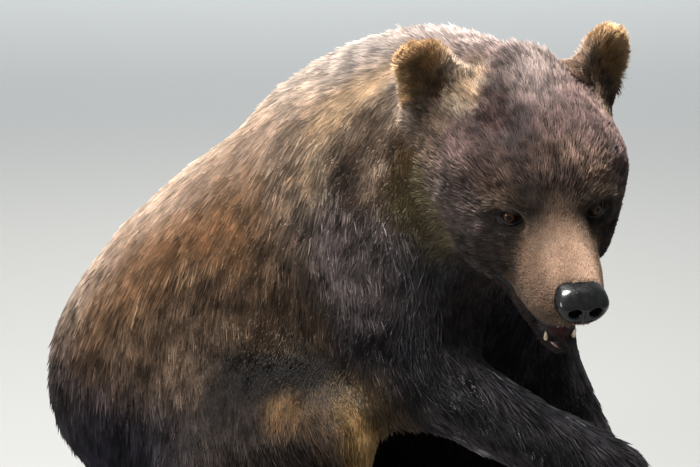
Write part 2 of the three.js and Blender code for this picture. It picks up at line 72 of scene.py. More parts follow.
eyes_middle = (middle_of("eye_right") + middle_of("eye_left")) / 2
HEAD_AT = np.array(eyes_middle + head_turn.col[0] * EYE_BACK)


def to_head(points):
    return (points - HEAD_AT) @ HEAD_AXES


def from_head(points):
    return np.asarray(points) @ HEAD_AXES.T + HEAD_AT


print("head at", HEAD_AT.round(4))

# %% [markdown]
# ## The camera
# A long lens far away keeps the bear's proportions. The camera looks from the bear's front right,
# a little from above, and the point between the eyes lands on a chosen spot of the picture.

# %% Camera
PICTURE = (700, 467)
EYES_PIXEL = (551, 212)
AZIMUTH, ELEVATION = radians(35), radians(9.5)
DISTANCE, LENS, SENSOR = 11.0, 356.4, 36.0

pixel = DISTANCE * SENSOR / LENS / PICTURE[0]  # one pixel at the bear, in metres
view_back = Vector((sin(AZIMUTH) * cos(ELEVATION), -cos(AZIMUTH) * cos(ELEVATION), sin(ELEVATION)))
view_right = Vector((cos(AZIMUTH), sin(AZIMUTH), 0))
view_up = view_back.cross(view_right)
camera = bpy.data.objects.new("camera", bpy.data.cameras.new("camera"))
camera.data.lens = LENS
camera.data.sensor_width = SENSOR
camera_at = eyes_middle + view_back * DISTANCE
camera_at -= view_right * (EYES_PIXEL[0] - PICTURE[0] / 2) * pixel
camera_at -= view_up * (PICTURE[1] / 2 - EYES_PIXEL[1]) * pixel
turn = Matrix((view_right, view_up, view_back)).transposed()
camera.matrix_world = Matrix.Translation(camera_at) @ turn.to_4x4()
bpy.context.scene.collection.objects.link(camera)
bpy.context.scene.camera = camera
print("camera at", [round(c, 3) for c in camera_at])

# %% [markdown]
# ## The tones of the coat
# A grizzly's coat runs from cream on the back, partly bleached by the sun and partly a painted highlight of
# the light from above, through rust and brown to almost black where it is wet. One brown with noise over it
# would look like plush, and a painted image would stretch wherever the body bends. So the tones are named
# once, as linear red, green and blue, and every place on the body asks for one of them by name. A few tones
# also carry painted light and shade: highlights on the back and hump, sheen on the wet arms, shade in folds
# and under the head.

# %% Tones
TONES = {
    # pale tones for hump and back: their own colour with painted sheen and highlight of the light from above
    "frost_and_sheen": (0.48, 0.42, 0.38),
    "dune": (0.78, 0.635, 0.51),
    "sand": (0.55, 0.42, 0.33),
    "cream": (0.66, 0.52, 0.38),
    "wheat": (0.56, 0.37, 0.20),
    "ash": (0.32, 0.25, 0.225),
    "gold": (0.39, 0.235, 0.13),
    "tawny": (0.36, 0.24, 0.15),
    "brown": (0.23, 0.158, 0.108),
    "rust": (0.105, 0.062, 0.038),
    "fawn": (0.30, 0.225, 0.17),
    "bronze": (0.20, 0.115, 0.052),
    "honey": (0.29, 0.175, 0.068),
    "olive": (0.17, 0.130, 0.070),
    "bark": (0.150, 0.102, 0.070),
    "umber": (0.085, 0.059, 0.044),
    "chestnut": (0.22, 0.140, 0.098),
    "plum": (0.130, 0.084, 0.075),
    "smoke": (0.104, 0.077, 0.066),
    # a dark coat colour made paler and greyer by a painted sheen of wet hair
    "dusk": (0.21, 0.172, 0.165),
    "slate": (0.090, 0.080, 0.084),
    "soot": (0.029, 0.021, 0.017),
    "ink": (0.028, 0.025, 0.032),
    # painted shade, almost black, for the fold where the belly hangs over the thigh
    "painted_fold_shade": (0.008, 0.006, 0.005),
    "peat": (0.105, 0.060, 0.026),
    "buff": (0.41, 0.265, 0.18),
    "tan": (0.18, 0.110, 0.070),
}
print("tones:", len(TONES))

# %% [markdown]
# ## What a patch of coat says
# A bear's coat changes from place to place: long and sandy on the back, short and dark on the
# face, wet and black where the arms reach into water. It could be painted by hand as weights on
# the points, but then any change to the body would mean painting it again. Here each patch says
# what the coat is like along one line in the body, and a point of the skin takes the mean of the
# patches round it, the near ones counting most. Lie, length and colour all follow from a few
# dozen lines.

# %% A patch
@dataclass
class Patch:
    start: tuple  # the line that the patch lies round
    end: tuple
    reach: float  # how far from the line it counts
    tone: str
    flow: tuple = None  # the way the hair lies
    away: tuple = None  # or the point that the hair lies away from
    length: float = 0.042
    width: float = 0.0026
    lift: float = 0.17  # how steeply a tuft stands off the skin
    room: float = 7.6  # square millimetres of skin for each tuft
    depth: float = 0.009  # of the coat
    smooth: float = 1.0  # how much the solids' facets are rounded away
    wet: float = 0.0
    stray: float = 0.14  # how far tufts turn from the common lie
    mottle: float = 1.0  # how much one tuft differs from the next
    speckle: float = 0.0  # dark spots
    head: bool = False


def both(start, end, reach, tone, flow=None, away=None, **facts):
    """A patch on the right side and its double on the left."""

    def flipped(place):
        return place and (place[0], -place[1], place[2])

    right = Patch(start, end, reach, tone, flow, away, **facts)
    left = Patch(flipped(start), flipped(end), reach, tone, flipped(flow), flipped(away), **facts)
    return [right, left]


print("a patch says:", ", ".join(Patch.__annotations__))

# %% [markdown]
# ## The trunk's coat
# Along the back the hair is pale, its own colour with a painted highlight of the light from above, and lies
# towards the tail, and it stands up a little on the hump, where its pale grey is partly a painted sheen.
# Down the flanks it turns from sand through gold and rust to dark brown, and hangs. The rump sits in the
# wet, so it is black there, with long clinging locks.

# %% Back, hump, rump and belly
BACK = [
    # the back's pale tone: its own colour with a painted highlight of the light from above
    Patch((-0.52, 0, 0.42), (-0.14, 0, 0.72), 0.12, "dune", (-0.80, 0, -0.60), depth=0.006, mottle=0.5),
    # the hump's pale grey: tips of its own colour and a painted sheen of the light from above
    Patch((-0.16, 0, 0.74), (0.09, -0.01, 0.81), 0.085, "frost_and_sheen", (-0.95, 0, -0.25), length=0.034,
          lift=0.40, stray=0.20, mottle=0.7, depth=0.001, smooth=0.5),
    *both((-0.10, -0.07, 0.76), (0.06, -0.09, 0.79), 0.04, "frost_and_sheen", (-0.85, -0.2, -0.35), length=0.032,
          lift=0.3, stray=0.25, mottle=0.6, depth=0.004),
    Patch((-0.62, 0, 0.22), (-0.58, 0, 0.34), 0.10, "rust", (-0.15, 0, -1)),
    Patch((-0.62, 0, 0.14), (-0.45, 0, 0.06), 0.09, "ink", (-0.1, 0, -1), wet=1.0, length=0.05, room=12),
    Patch((-0.30, 0, 0.10), (0.10, 0, 0.28), 0.14, "soot", (-0.3, 0, -0.95), wet=0.8, room=16),
    Patch((0.20, 0, 0.33), (0.26, -0.02, 0.46), 0.12, "ink", (0, 0, -1), wet=1.0),
]
print("back patches:", len(BACK))

# %% Flanks
FLANKS = [
    *both((-0.46, -0.14, 0.44), (-0.16, -0.15, 0.66), 0.065, "sand", (-0.50, -0.10, -0.86), mottle=0.5),
    *both((-0.42, -0.23, 0.40), (-0.18, -0.22, 0.55), 0.06, "gold", (-0.30, -0.08, -0.95), length=0.048,
          mottle=0.65),
    *both((-0.15, -0.21, 0.61), (-0.08, -0.24, 0.50), 0.055, "tawny", (-0.22, -0.08, -0.97), mottle=0.8),
    *both((-0.40, -0.27, 0.34), (-0.28, -0.28, 0.38), 0.06, "rust", (-0.25, -0.05, -0.97), length=0.048,
          mottle=0.8),
    *both((-0.24, -0.275, 0.39), (-0.05, -0.265, 0.395), 0.044, "brown", (-0.10, -0.08, -1), wet=0.2,
          length=0.046),
    *both((-0.20, -0.26, 0.45), (-0.06, -0.26, 0.46), 0.040, "bark", (-0.12, -0.08, -1), wet=0.2,
          length=0.044),
    *both((-0.17, -0.225, 0.56), (-0.13, -0.24, 0.52), 0.030, "gold", (-0.20, -0.08, -1), length=0.042,
          mottle=0.7),
    *both((-0.03, -0.265, 0.41), (0.04, -0.265, 0.40), 0.034, "brown", (-0.10, -0.08, -1), wet=0.2,
          length=0.040),
    *both((-0.02, -0.22, 0.66), (-0.03, -0.25, 0.55), 0.055, "fawn", (-0.25, -0.15, -0.95), stray=0.22),
    *both((-0.01, -0.255, 0.50), (0.0, -0.26, 0.42), 0.05, "umber", (-0.20, -0.08, -0.97), wet=0.4),
]
print("flank patches:", len(FLANKS))

# %% [markdown]
# ## The coat of the legs
# A thigh's hair slants forward to the knee, where it is short and golden, and painted shade, almost black,
# lies along the fold that parts thigh from belly. The arms are wet, so their hair is smooth and stuck
# together, and its slate grey is partly its own dark colour and partly a painted sheen of the wet hair. On
# the feet it is shortest and lies along the toes.

# %% Rump, thighs and feet
THIGHS = [
    *both((-0.56, -0.17, 0.36), (-0.44, -0.23, 0.34), 0.065, "rust", (-0.12, -0.08, -0.99), length=0.050),
    *both((-0.56, -0.18, 0.28), (-0.50, -0.22, 0.24), 0.045, "soot", (0.0, -0.06, -1), length=0.050),
    *both((-0.60, -0.10, 0.25), (-0.27, -0.31, 0.17), 0.080, "ink", (0.05, -0.06, -1), length=0.052,
          wet=0.6, stray=0.2),
    *both((-0.54, -0.19, 0.07), (-0.33, -0.30, 0.07), 0.08, "ink", (0.10, -0.10, -1), wet=1.0, room=10),
    *both((-0.33, -0.29, 0.31), (-0.22, -0.30, 0.31), 0.055, "bark", (0.15, -0.20, -0.97), wet=0.2,
          length=0.032),
    *both((-0.24, -0.35, 0.21), (0.06, -0.38, 0.195), 0.055, "soot", (0.50, -0.10, -0.85), wet=0.1,
          length=0.028),
    *both((0.02, -0.345, 0.272), (0.072, -0.342, 0.276), 0.031, "bronze", (0.50, -0.10, -0.85),
          length=0.024, lift=0.08, mottle=0.8),
    # painted shade along the fold between belly and thigh, on skin that faces the light
    *both((-0.12, -0.30, 0.31), (0.060, -0.275, 0.305), 0.062, "painted_fold_shade", (0.20, -0.20, -0.95), length=0.022,
          lift=0.06),
    # rust along the knee's top edge: the hair's own colour, made darker as painted shade of the fold
    *both((0.092, -0.325, 0.285), (0.112, -0.368, 0.215), 0.021, "rust", (0.40, -0.10, -0.90),
          length=0.022, lift=0.08),
    *both((0.145, -0.290, 0.285), (0.165, -0.275, 0.215), 0.046, "honey", (0.35, -0.10, -0.93),
          length=0.022, width=0.0022, room=6.0, depth=0.010, smooth=0.4, mottle=0.8, lift=0.08),
    *both((0.04, -0.29, 0.10), (-0.22, -0.30, 0.07), 0.06, "soot", (0.30, -0.10, -0.93), length=0.028,
          smooth=0.3),
    *both((-0.20, -0.31, 0.03), (0.10, -0.32, 0.04), 0.05, "soot", (0.93, 0, -0.2), length=0.016,
          width=0.0024, depth=0.005, smooth=0.12),
]
print("thigh patches:", len(THIGHS))

# %% Shoulders and upper arms
HANGING = dict(flow=(-0.05, -0.05, -1), smooth=0.7)
SHOULDERS = [
    # the wet arms' grey tones: their own dark colour with a painted sheen of wet hair
    *both((0.04, -0.27, 0.56), (0.12, -0.275, 0.50), 0.060, "dusk", wet=0.7, length=0.032, stray=0.3,
          **HANGING),
    *both((0.215, -0.255, 0.52), (0.245, -0.24, 0.46), 0.036, "slate", wet=0.8, length=0.034, stray=0.3,
          **HANGING),
    *both((0.14, -0.278, 0.52), (0.17, -0.272, 0.45), 0.050, "dusk", wet=1.0, length=0.034, stray=0.3,
          **HANGING),
    *both((0.09, -0.275, 0.46), (0.10, -0.275, 0.43), 0.036, "dusk", wet=1.0, length=0.034, stray=0.3,
          **HANGING),
    *both((0.15, -0.28, 0.33), (0.19, -0.265, 0.31), 0.034, "slate", wet=0.5, length=0.036, stray=0.26,
          **HANGING),
    *both((0.11, -0.28, 0.40), (0.20, -0.265, 0.39), 0.046, "ink", wet=0.8, length=0.038, stray=0.26,
          **HANGING),
]
print("shoulder patches:", len(SHOULDERS))

# %% [markdown]
# ## The coat of the neck
# The neck is thick and loose, and folds in front of the hump. Each fold is a pale, ruffled ridge, its
# paleness partly painted light, with a darker valley of painted shade behind it, so the patches run down the
# neck in turn: pale, dark, pale. A narrow olive ruff closes them under the cheek.

# %% Folds of the neck, from the hump forward
FOLDS = [
    # pale ridges of the folds: the hair's own colour and painted light
    *both((0.10, -0.140, 0.79), (0.02, -0.195, 0.715), 0.024, "cream", (-0.55, -0.30, -0.70), length=0.030,
          lift=0.22, stray=0.24, mottle=0.4),
    *both((0.02, -0.205, 0.70), (0.005, -0.235, 0.61), 0.030, "cream", (-0.25, -0.20, -0.92), length=0.028,
          lift=0.20, stray=0.24, mottle=0.5),
    # dark valley behind a fold: painted shade
    *both((0.105, -0.195, 0.750), (0.125, -0.215, 0.715), 0.020, "umber", (-0.25, -0.20, -0.92),
          length=0.028, stray=0.26, mottle=0.7),
    *both((0.085, -0.190, 0.745), (0.075, -0.215, 0.70), 0.026, "fawn", (-0.25, -0.20, -0.92),
          length=0.030, lift=0.20, stray=0.26, mottle=0.6),
    # dark valley in front of the shoulder: painted shade
    *both((0.06, -0.225, 0.68), (0.10, -0.258, 0.585), 0.030, "umber", (-0.20, -0.15, -0.95), length=0.028,
          lift=0.18, stray=0.26, mottle=0.7),
    *both((0.13, -0.200, 0.74), (0.145, -0.250, 0.62), 0.024, "fawn", (-0.15, -0.15, -0.95), length=0.028,
          lift=0.22, stray=0.26, mottle=0.6),
    *both((0.185, -0.225, 0.70), (0.180, -0.240, 0.65), 0.020, "peat", (-0.10, -0.15, -0.95), length=0.026,
          lift=0.22, stray=0.24, mottle=0.6),
    *both((0.19, -0.245, 0.63), (0.245, -0.245, 0.56), 0.030, "olive", (-0.10, -0.20, -0.95), length=0.026,
          lift=0.20, stray=0.22, mottle=0.5),
]
print("patches of the folds:", len(FOLDS))

# %% Forelegs, paws, tail, nape and throat
FORELEG = dict(tone="slate", wet=0.9, length=0.036, depth=0.012, smooth=0.3, stray=0.24)
PAW = dict(tone="soot", wet=0.4, length=0.016, width=0.0024, room=7.0, depth=0.005, smooth=0.12)
ENDS = [
    Patch((0.20, -0.20, 0.29), (0.46, -0.07, 0.16), 0.075, flow=(0.6, 0.2, -0.75), **FORELEG),
    Patch((0.19, 0.16, 0.29), (0.29, 0.155, 0.13), 0.075, flow=(0.4, 0, -0.9), **FORELEG),
    Patch((0.50, -0.06, 0.08), (0.60, -0.02, 0.03), 0.055, flow=(0.9, 0.3, -0.3), **PAW),
    Patch((0.33, 0.155, 0.07), (0.44, 0.15, 0.03), 0.055, flow=(0.95, 0, -0.3), **PAW),
    Patch((-0.60, 0, 0.22), (-0.64, 0, 0.15), 0.05, "umber", (-0.3, 0, -0.95), smooth=0.3),
    Patch((0.13, -0.02, 0.82), (0.26, -0.08, 0.84), 0.060, "ash", (-0.9, 0.3, 0.1), length=0.034, lift=0.5,
          smooth=0.6, stray=0.3),
    Patch((0.15, 0.15, 0.66), (0.32, 0.05, 0.62), 0.10, "bark", (-0.6, 0.3, -0.7), smooth=0.7),
    # soot on the chest under the chin: painted shade under the drooping head
    Patch((0.30, -0.14, 0.46), (0.36, -0.12, 0.46), 0.07, "soot", (-0.5, 0, -0.8), smooth=0.5),
]
print("patches of the ends:", len(ENDS))

# %% [markdown]
# ## The coat of the head
# On the muzzle the hair is a few millimetres long and lies flat, away from the nose. It grows
# longer up the forehead and the cheeks, and stands in a soft rim round the ears. These patches are
# placed in the head's own axes, and their hair lies away from a point instead of along one way.
# The kinds of head hair are named first, so that each patch says only what sets it apart.

# %% Kinds of head hair
FACE = dict(head=True, smooth=0.10)
SHORT = dict(length=0.0065, width=0.0012, room=2.0, depth=0.002, lift=0.2, mottle=0.3, **FACE)
CLOSE = dict(length=0.0105, width=0.0014, room=2.3, depth=0.004, lift=0.22, mottle=0.6, **FACE)
SOFT = dict(length=0.017, width=0.0016, room=2.8, depth=0.006, lift=0.24, mottle=1.1, stray=0.2, **FACE)
RUFF = dict(length=0.018, width=0.0018, room=3.2, depth=0.008, **FACE)
TOPKNOT = dict(width=0.0020, room=4.0, **FACE)
RIM = dict(length=0.013, width=0.0014, room=2.3, depth=0.003, lift=0.4, mottle=0.6, stray=0.3,
           head=True, smooth=0.03, away=(-0.215, -0.145, 0.110))
NOSE_TIP = (0.19, 0, -0.07)
NOSE_SIDE = (0.19, 0, -0.05)
BROW_POINT = (0.10, 0, -0.02)  # the hair of forehead and eye corners lies away from here
CHEEK_POINT = (0.08, -0.02, -0.03)
JOWL_POINT = (0.05, -0.02, -0.02)
print("hair of muzzle, forehead and ears:", SHORT["length"], SOFT["length"], RIM["length"], "m")

# %% Muzzle and eye corners
MUZZLE = [
    Patch((0.060, 0, 0.0), (0.15, 0, -0.02), 0.037, "buff", away=NOSE_TIP, speckle=0.55, **SHORT),
    Patch((0.030, 0, 0.005), (0.055, 0, -0.01), 0.022, "tan", away=NOSE_TIP, **SHORT),
    *both((0.034, -0.040, 0.004), (0.065, -0.044, -0.014), 0.013, "bark", away=NOSE_SIDE, **SHORT),
    *both((0.050, -0.050, -0.035), (0.13, -0.048, -0.060), 0.022, "tan", away=NOSE_SIDE, speckle=0.7,
          **SHORT),
    *both((0.07, -0.060, -0.095), (0.15, -0.035, -0.100), 0.017, "bark", away=NOSE_SIDE, speckle=1.0,
          **SHORT),
    *both((0.045, -0.066, -0.085), (0.030, -0.070, -0.125), 0.014, "rust", away=NOSE_SIDE, speckle=0.5,
          **SHORT),
    Patch((-0.01, 0, 0.045), (0.02, 0, 0.018), 0.020, "bark", away=(0.12, 0, -0.02), **CLOSE),
    *both((-0.006, -0.036, 0.034), (0.024, -0.036, 0.010), 0.020, "soot", away=BROW_POINT, **CLOSE),
    *both((-0.014, -0.090, 0.032), (-0.006, -0.055, 0.034), 0.015, "bark", away=BROW_POINT, **CLOSE),
    *both((0.012, -0.085, -0.012), (0.026, -0.060, -0.018), 0.017, "soot", away=(0.10, -0.02, -0.03),
          **CLOSE),
]
print("muzzle patches:", len(MUZZLE))

# %% Forehead and crown
FOREHEAD = [
    Patch((-0.06, 0, 0.11), (-0.02, 0, 0.07), 0.042, "plum", away=BROW_POINT, **SOFT),
    *both((-0.12, -0.06, 0.12), (-0.05, -0.07, 0.08), 0.045, "plum", away=BROW_POINT, **SOFT),
    *both((-0.030, -0.020, 0.075), (-0.020, -0.085, 0.055), 0.028, "chestnut", away=BROW_POINT, **SOFT),
    Patch((-0.215, -0.085, 0.125), (-0.175, -0.095, 0.105), 0.026, "cream", away=(0.10, 0, 0),
          length=0.022, width=0.0018, room=3.6, depth=0.008, lift=0.32, stray=0.25, mottle=0.8, **FACE),
    *both((-0.222, -0.182, 0.042), (-0.215, -0.180, 0.034), 0.014, "sand", away=JOWL_POINT, stray=0.25,
          **RUFF),
    Patch((-0.24, 0, 0.15), (-0.16, 0, 0.145), 0.045, "ash", away=(0.10, 0, 0), length=0.026, depth=0.008,
          lift=0.32, stray=0.25, mottle=1.1, **TOPKNOT),
    Patch((-0.275, -0.02, 0.15), (-0.26, 0.03, 0.155), 0.028, "ash", (-0.5, 0, 1), length=0.042,
          depth=0.006, lift=0.9, stray=0.35, mottle=0.9, **TOPKNOT),
]
print("forehead patches:", len(FOREHEAD))

# %% Cheeks and jowls
CHEEKS = [
    *both((-0.10, -0.13, 0.07), (-0.06, -0.11, 0.06), 0.040, "plum", away=CHEEK_POINT, **SOFT),
    *both((-0.07, -0.15, 0.0), (-0.02, -0.12, -0.02), 0.045, "smoke", away=CHEEK_POINT, **SOFT),
    *both((0.015, -0.085, -0.060), (-0.03, -0.10, -0.10), 0.036, "soot", away=(0.10, -0.02, -0.03),
          **SOFT),
    *both((-0.165, -0.150, 0.065), (-0.135, -0.150, 0.030), 0.026, "bark", away=JOWL_POINT, **SOFT),
    *both((-0.15, -0.17, -0.02), (-0.085, -0.145, -0.10), 0.022, "olive", away=JOWL_POINT, length=0.019,
          width=0.0017, room=3.0, depth=0.008, lift=0.20, stray=0.2, mottle=0.6, **FACE),
]
print("cheek patches:", len(CHEEKS))

# %% Ears, dark inside and fluffy round the rim, with chin and throat
EARS = [
    *both((-0.228, -0.152, 0.142), (-0.226, -0.168, 0.118), 0.014, "honey", **RIM),
    *both((-0.214, -0.138, 0.098), (-0.216, -0.132, 0.118), 0.016, "rust", away=(-0.205, -0.150, 0.085),
          length=0.011, width=0.0013, room=2.2, depth=0.003, lift=0.25, stray=0.25, mottle=1.2, head=True,
          smooth=0.03),
    *both((-0.245, -0.185, 0.165), (-0.240, -0.205, 0.105), 0.020, "wheat", **RIM),
    *both((-0.250, -0.170, 0.185), (-0.248, -0.115, 0.175), 0.018, "wheat", **RIM),
    *both((-0.240, -0.105, 0.150), (-0.225, -0.095, 0.115), 0.016, "sand", **RIM),
    *both((-0.275, -0.165, 0.13), (-0.275, -0.135, 0.13), 0.022, "brown", **RIM),
    *both((-0.195, -0.165, 0.070), (-0.200, -0.140, 0.075), 0.016, "umber", away=JOWL_POINT, stray=0.3,
          **RUFF),
    Patch((0.05, 0, -0.19), (0.12, 0, -0.21), 0.045, "soot", away=(0.2, 0, -0.12), **CLOSE),
    Patch((-0.06, 0, -0.17), (-0.10, 0, -0.16), 0.06, "umber", away=(0.2, 0, -0.12), length=0.028,
          width=0.0024, room=5.0, depth=0.010, **FACE),
]
PATCHES = BACK + FLANKS + THIGHS + SHOULDERS + FOLDS + ENDS + MUZZLE + FOREHEAD + CHEEKS + EARS
print("patches:", len(PATCHES))

# %% [markdown]
# ## From patches to points
# On a real bear the coat has no borders, so the patches have to melt into one another. A nearest
# patch would leave hard edges. A bell curve over the distance from each patch's line gives soft
# ones, and a faint tail on it makes sure that some patch counts everywhere.

# %% Blend the patches
BORDER_TAIL = 1e-7  # the share that a patch keeps far away
NUMBERS = ("length", "width", "lift", "room", "depth", "smooth", "wet", "stray", "mottle", "speckle")


def distance_to_line(points, start, end):
    start, end = np.array(start, float), np.array(end, float)
    along = end - start
    t = np.clip((points - start) @ along / max(along @ along, 1e-12), 0, 1)
    return np.linalg.norm(points - start - t[:, None] * along, axis=1)


def coat_at(points):
    """Each number of the patches, with the tone and the way the hair lies, at every point."""
    in_head = to_head(points)
    total = np.full(len(points), 1e-12)
    sums = {name: np.zeros(len(points)) for name in NUMBERS}
    tone, flow = np.zeros((len(points), 3)), np.zeros((len(points), 3))
    for patch in PATCHES:
        places = in_head if patch.head else points
        far = distance_to_line(places, patch.start, patch.end) / patch.reach
        share = np.exp(-far * far) + BORDER_TAIL / (1 + far ** 4)
        total += share
        for name in NUMBERS:
            sums[name] += share * getattr(patch, name)
        tone += share[:, None] * np.array(TONES[patch.tone])
        way = places - np.array(patch.away) if patch.away else np.tile(patch.flow, (len(points), 1))
        way = way / np.linalg.norm(way, axis=1)[:, None]
        flow += share[:, None] * (way @ HEAD_AXES.T if patch.head else way)
    coat = {name: value / total for name, value in sums.items()}
    coat["tone"] = tone / total[:, None]
    coat["flow"] = flow / np.maximum(np.linalg.norm(flow, axis=1), 1e-9)[:, None]
    return coat


print("hair on the hump:", round(float(coat_at(np.array([[0.0, 0.0, 0.8]]))["length"][0]), 4), "m")

# %% [markdown]
# ## One skin from many solids
# A live bear has one skin, while the solids of flesh are cut apart by hairline gaps and are
# faceted. Boolean unions of so many curved solids are slow and fragile. Copies of them, swollen by
# a few millimetres so that they overlap, go through a voxel remesh instead, which fuses them into
# one closed surface.

# %% Fuse the flesh
VOXEL = 0.009
SWELL = 0.0025
LIMBS = ["upper_arm", "forearm", "forepaw", "thigh", "shank", "hind_foot", "ear"]
FLESH = ["trunk", "neck", "tail", "head", "jaw"]
FLESH += [f"{limb}_{side}" for limb in LIMBS for side in ("right", "left")]


def node_copy(name, swell=0.0):
    """A CAD node's mesh with its loose triangles merged, grown by `swell`."""
    shape = bmesh.new()
    shape.from_mesh(bpy.data.objects[name].data)
    bmesh.ops.remove_doubles(shape, verts=shape.verts, dist=1e-5)
    bmesh.ops.recalc_face_normals(shape, faces=shape.faces)
    shape.normal_update()
    for vert in shape.verts:
        vert.co += vert.normal * swell
    return shape


def add_object(name, mesh):
    made = bpy.data.objects.new(name, mesh)
    bpy.context.scene.collection.objects.link(made)
    return made


def settled(item):
    """The object's mesh with its modifiers applied, and the modifiers gone."""
    evaluated = item.evaluated_get(bpy.context.evaluated_depsgraph_get())
    mesh = bpy.data.meshes.new_from_object(evaluated)
    item.modifiers.clear()
    item.data = mesh
    return mesh


def joined_solids(names, swell):
    """The named solids in one mesh, each grown by `swell`."""
    joined = bpy.data.meshes.new("flesh")
    whole = bmesh.new()
    for name in names:
        part = node_copy(name, swell)
        part.to_mesh(joined)
        part.free()
        whole.from_mesh(joined)
    whole.to_mesh(joined)
    whole.free()
    return joined


skin = add_object("skin", joined_solids(FLESH, SWELL))
remesh = skin.modifiers.new("fuse", "REMESH")
remesh.mode = "VOXEL"
remesh.voxel_size = VOXEL
settled(skin)
print("fused skin:", len(skin.data.vertices), "points")

# %% [markdown]
# ## Round the facets away
# Fat and muscle round a bear off. Subdividing the fused mesh would keep its facets, so every point
# is drawn towards the mean of its neighbours instead, again and again: widely on the trunk, barely
# on the ears and toes. Then the skin is drawn in by the depth of its coat, except at the soles,
# and what would sink through the floor is bent up to rest on it.

# %% Mesh helpers
def places_of(mesh):
    values = np.empty(len(mesh.vertices) * 3)
    mesh.vertices.foreach_get("co", values)
    return values.reshape(-1, 3)


def place(mesh, points):
    mesh.vertices.foreach_set("co", points.ravel())
    mesh.update()


def normals_of(mesh):
    values = np.empty(len(mesh.vertices) * 3)
    mesh.vertex_normals.foreach_get("vector", values)
    return values.reshape(-1, 3)


def edges_of(mesh):
    values = np.empty(len(mesh.edges) * 2, dtype=np.int32)
    mesh.edges.foreach_get("vertices", values)
    return values.reshape(-1, 2)


def ramp(values, low, high):
    """From 0 at `low` to 1 at `high`, smoothly."""
    t = np.clip((values - low) / (high - low), 0, 1)
    return t * t * (3 - 2 * t)


print("points read, edges read:", len(places_of(skin.data)), len(edges_of(skin.data)))


# %% Smooth the skin and draw it in
FLOOR_BEND = 0.006  # below this height the skin flattens towards the floor
SOLE_FADE = 0.035  # above this height the coat has its full depth
SMOOTH_ROUNDS = 70
SMOOTH_SHARE = 0.8  # of the way to the neighbours' mean, in one round


def smoothed(points, edges, amount, rounds):
    """Points drawn towards the mean of their neighbours, by `amount` each round."""
    a, b = edges.T
    n = len(points)
    count = np.bincount(np.concatenate([a, b]), minlength=n)[:, None]
    for _ in range(rounds):
        sums = [np.bincount(a, points[b, k], n) + np.bincount(b, points[a, k], n) for k in range(3)]
        points = points + (np.stack(sums, 1) / count - points) * amount[:, None]
    return points


def above_floor(points):
    """Points bent so that none sinks through the floor."""
    under = np.minimum(points[:, 2], FLOOR_BEND)
    bent = FLOOR_BEND * np.exp((under - FLOOR_BEND) / FLOOR_BEND)
    points[:, 2] = np.where(points[:, 2] < FLOOR_BEND, bent, points[:, 2])
    return points


points = places_of(skin.data)
coat = coat_at(points)
place(skin.data, smoothed(points, edges_of(skin.data), SMOOTH_SHARE * coat["smooth"], SMOOTH_ROUNDS))
points = places_of(skin.data)
drawn_in = (coat["depth"] + SWELL) * ramp(points[:, 2], 0.0, SOLE_FADE)
points -= normals_of(skin.data) * drawn_in[:, None]
place(skin.data, above_floor(points))
print("skin drawn in by", coat["depth"].min().round(4), "to", coat["depth"].max().round(4))

# %% [markdown]
# ## Finer mesh where the features are small
# The head needs points a few millimetres apart, the lids and lips closer still. Only edges that
# are longer than their place allows are split, so the trunk stays coarse.

# %% Split long edges round the face
EYE = (-EYE_BACK, 0.069, 0.0)
EYE_RADIUS = 0.014
EDGES = {"trunk": 0.02, "face": 0.0062, "ear": 0.0045, "muzzle": 0.0040, "eye": 0.0030, "lid": 0.0014}
SPLIT_ROUNDS, SPLIT_OVER = 4, 1.45  # an edge is split when it is this many times too long


def folded(local):
    """Places in the head, with the right half laid over the left."""
    return local * (1, 0, 1) + np.abs(local) * (0, 1, 0)


def wanted_edge(points):
    """How long an edge may be at each point."""
    local = folded(to_head(points))
    to_face = distance_to_line(local, (-0.20, 0, 0.06), (0.14, 0, -0.10))
    to_muzzle = distance_to_line(local, (0.05, 0, -0.06), (0.16, 0, -0.10))
    to_ear = distance_to_line(local, (-0.225, 0.14, 0.09), (-0.240, 0.155, 0.16))
    to_eye = distance_to_line(local, EYE, EYE)
    edge = np.where(to_face < 0.19, EDGES["face"], EDGES["trunk"])
    edge = np.where(to_muzzle < 0.075, EDGES["muzzle"], edge)
    edge = np.where(to_ear < 0.055, EDGES["ear"], edge)
    edge = np.where(to_eye < 0.045, EDGES["eye"], edge)
    return np.where(to_eye < 0.026, EDGES["lid"], edge)


def split_long_edges(mesh, rounds):
    shape = bmesh.new()
    shape.from_mesh(mesh)
    bmesh.ops.triangulate(shape, faces=shape.faces)
    for _ in range(rounds):
        middles = np.array([(edge.verts[0].co + edge.verts[1].co) / 2 for edge in shape.edges])
        lengths = np.array([edge.calc_length() for edge in shape.edges])
        long = lengths > SPLIT_OVER * wanted_edge(middles)
        chosen = [edge for edge, split in zip(shape.edges, long) if split]
        if not chosen:
            break
        bmesh.ops.subdivide_edges(shape, edges=chosen, cuts=1)
        bmesh.ops.triangulate(shape, faces=[face for face in shape.faces if len(face.verts) > 3])
    shape.to_mesh(mesh)
    shape.free()
    mesh.update()


split_long_edges(skin.data, SPLIT_ROUNDS)
local = to_head(places_of(skin.data))
near = np.clip(1.6 - np.linalg.norm(local, axis=1) / 0.2, 0, 1)
place(skin.data, smoothed(places_of(skin.data), edges_of(skin.data), 0.4 * near, 3))
print("skin:", len(skin.data.polygons), "triangles")

# %% [markdown]
# ## Lids and sockets
# Each eye sits in an almond opening of its own. Round the opening the skin is drawn up to a rim
# that hugs the ball, and inside it the skin drops away behind the ball. The eye's own axes make
# this a matter of heights over a flat map: `out` looks where the eye looks.

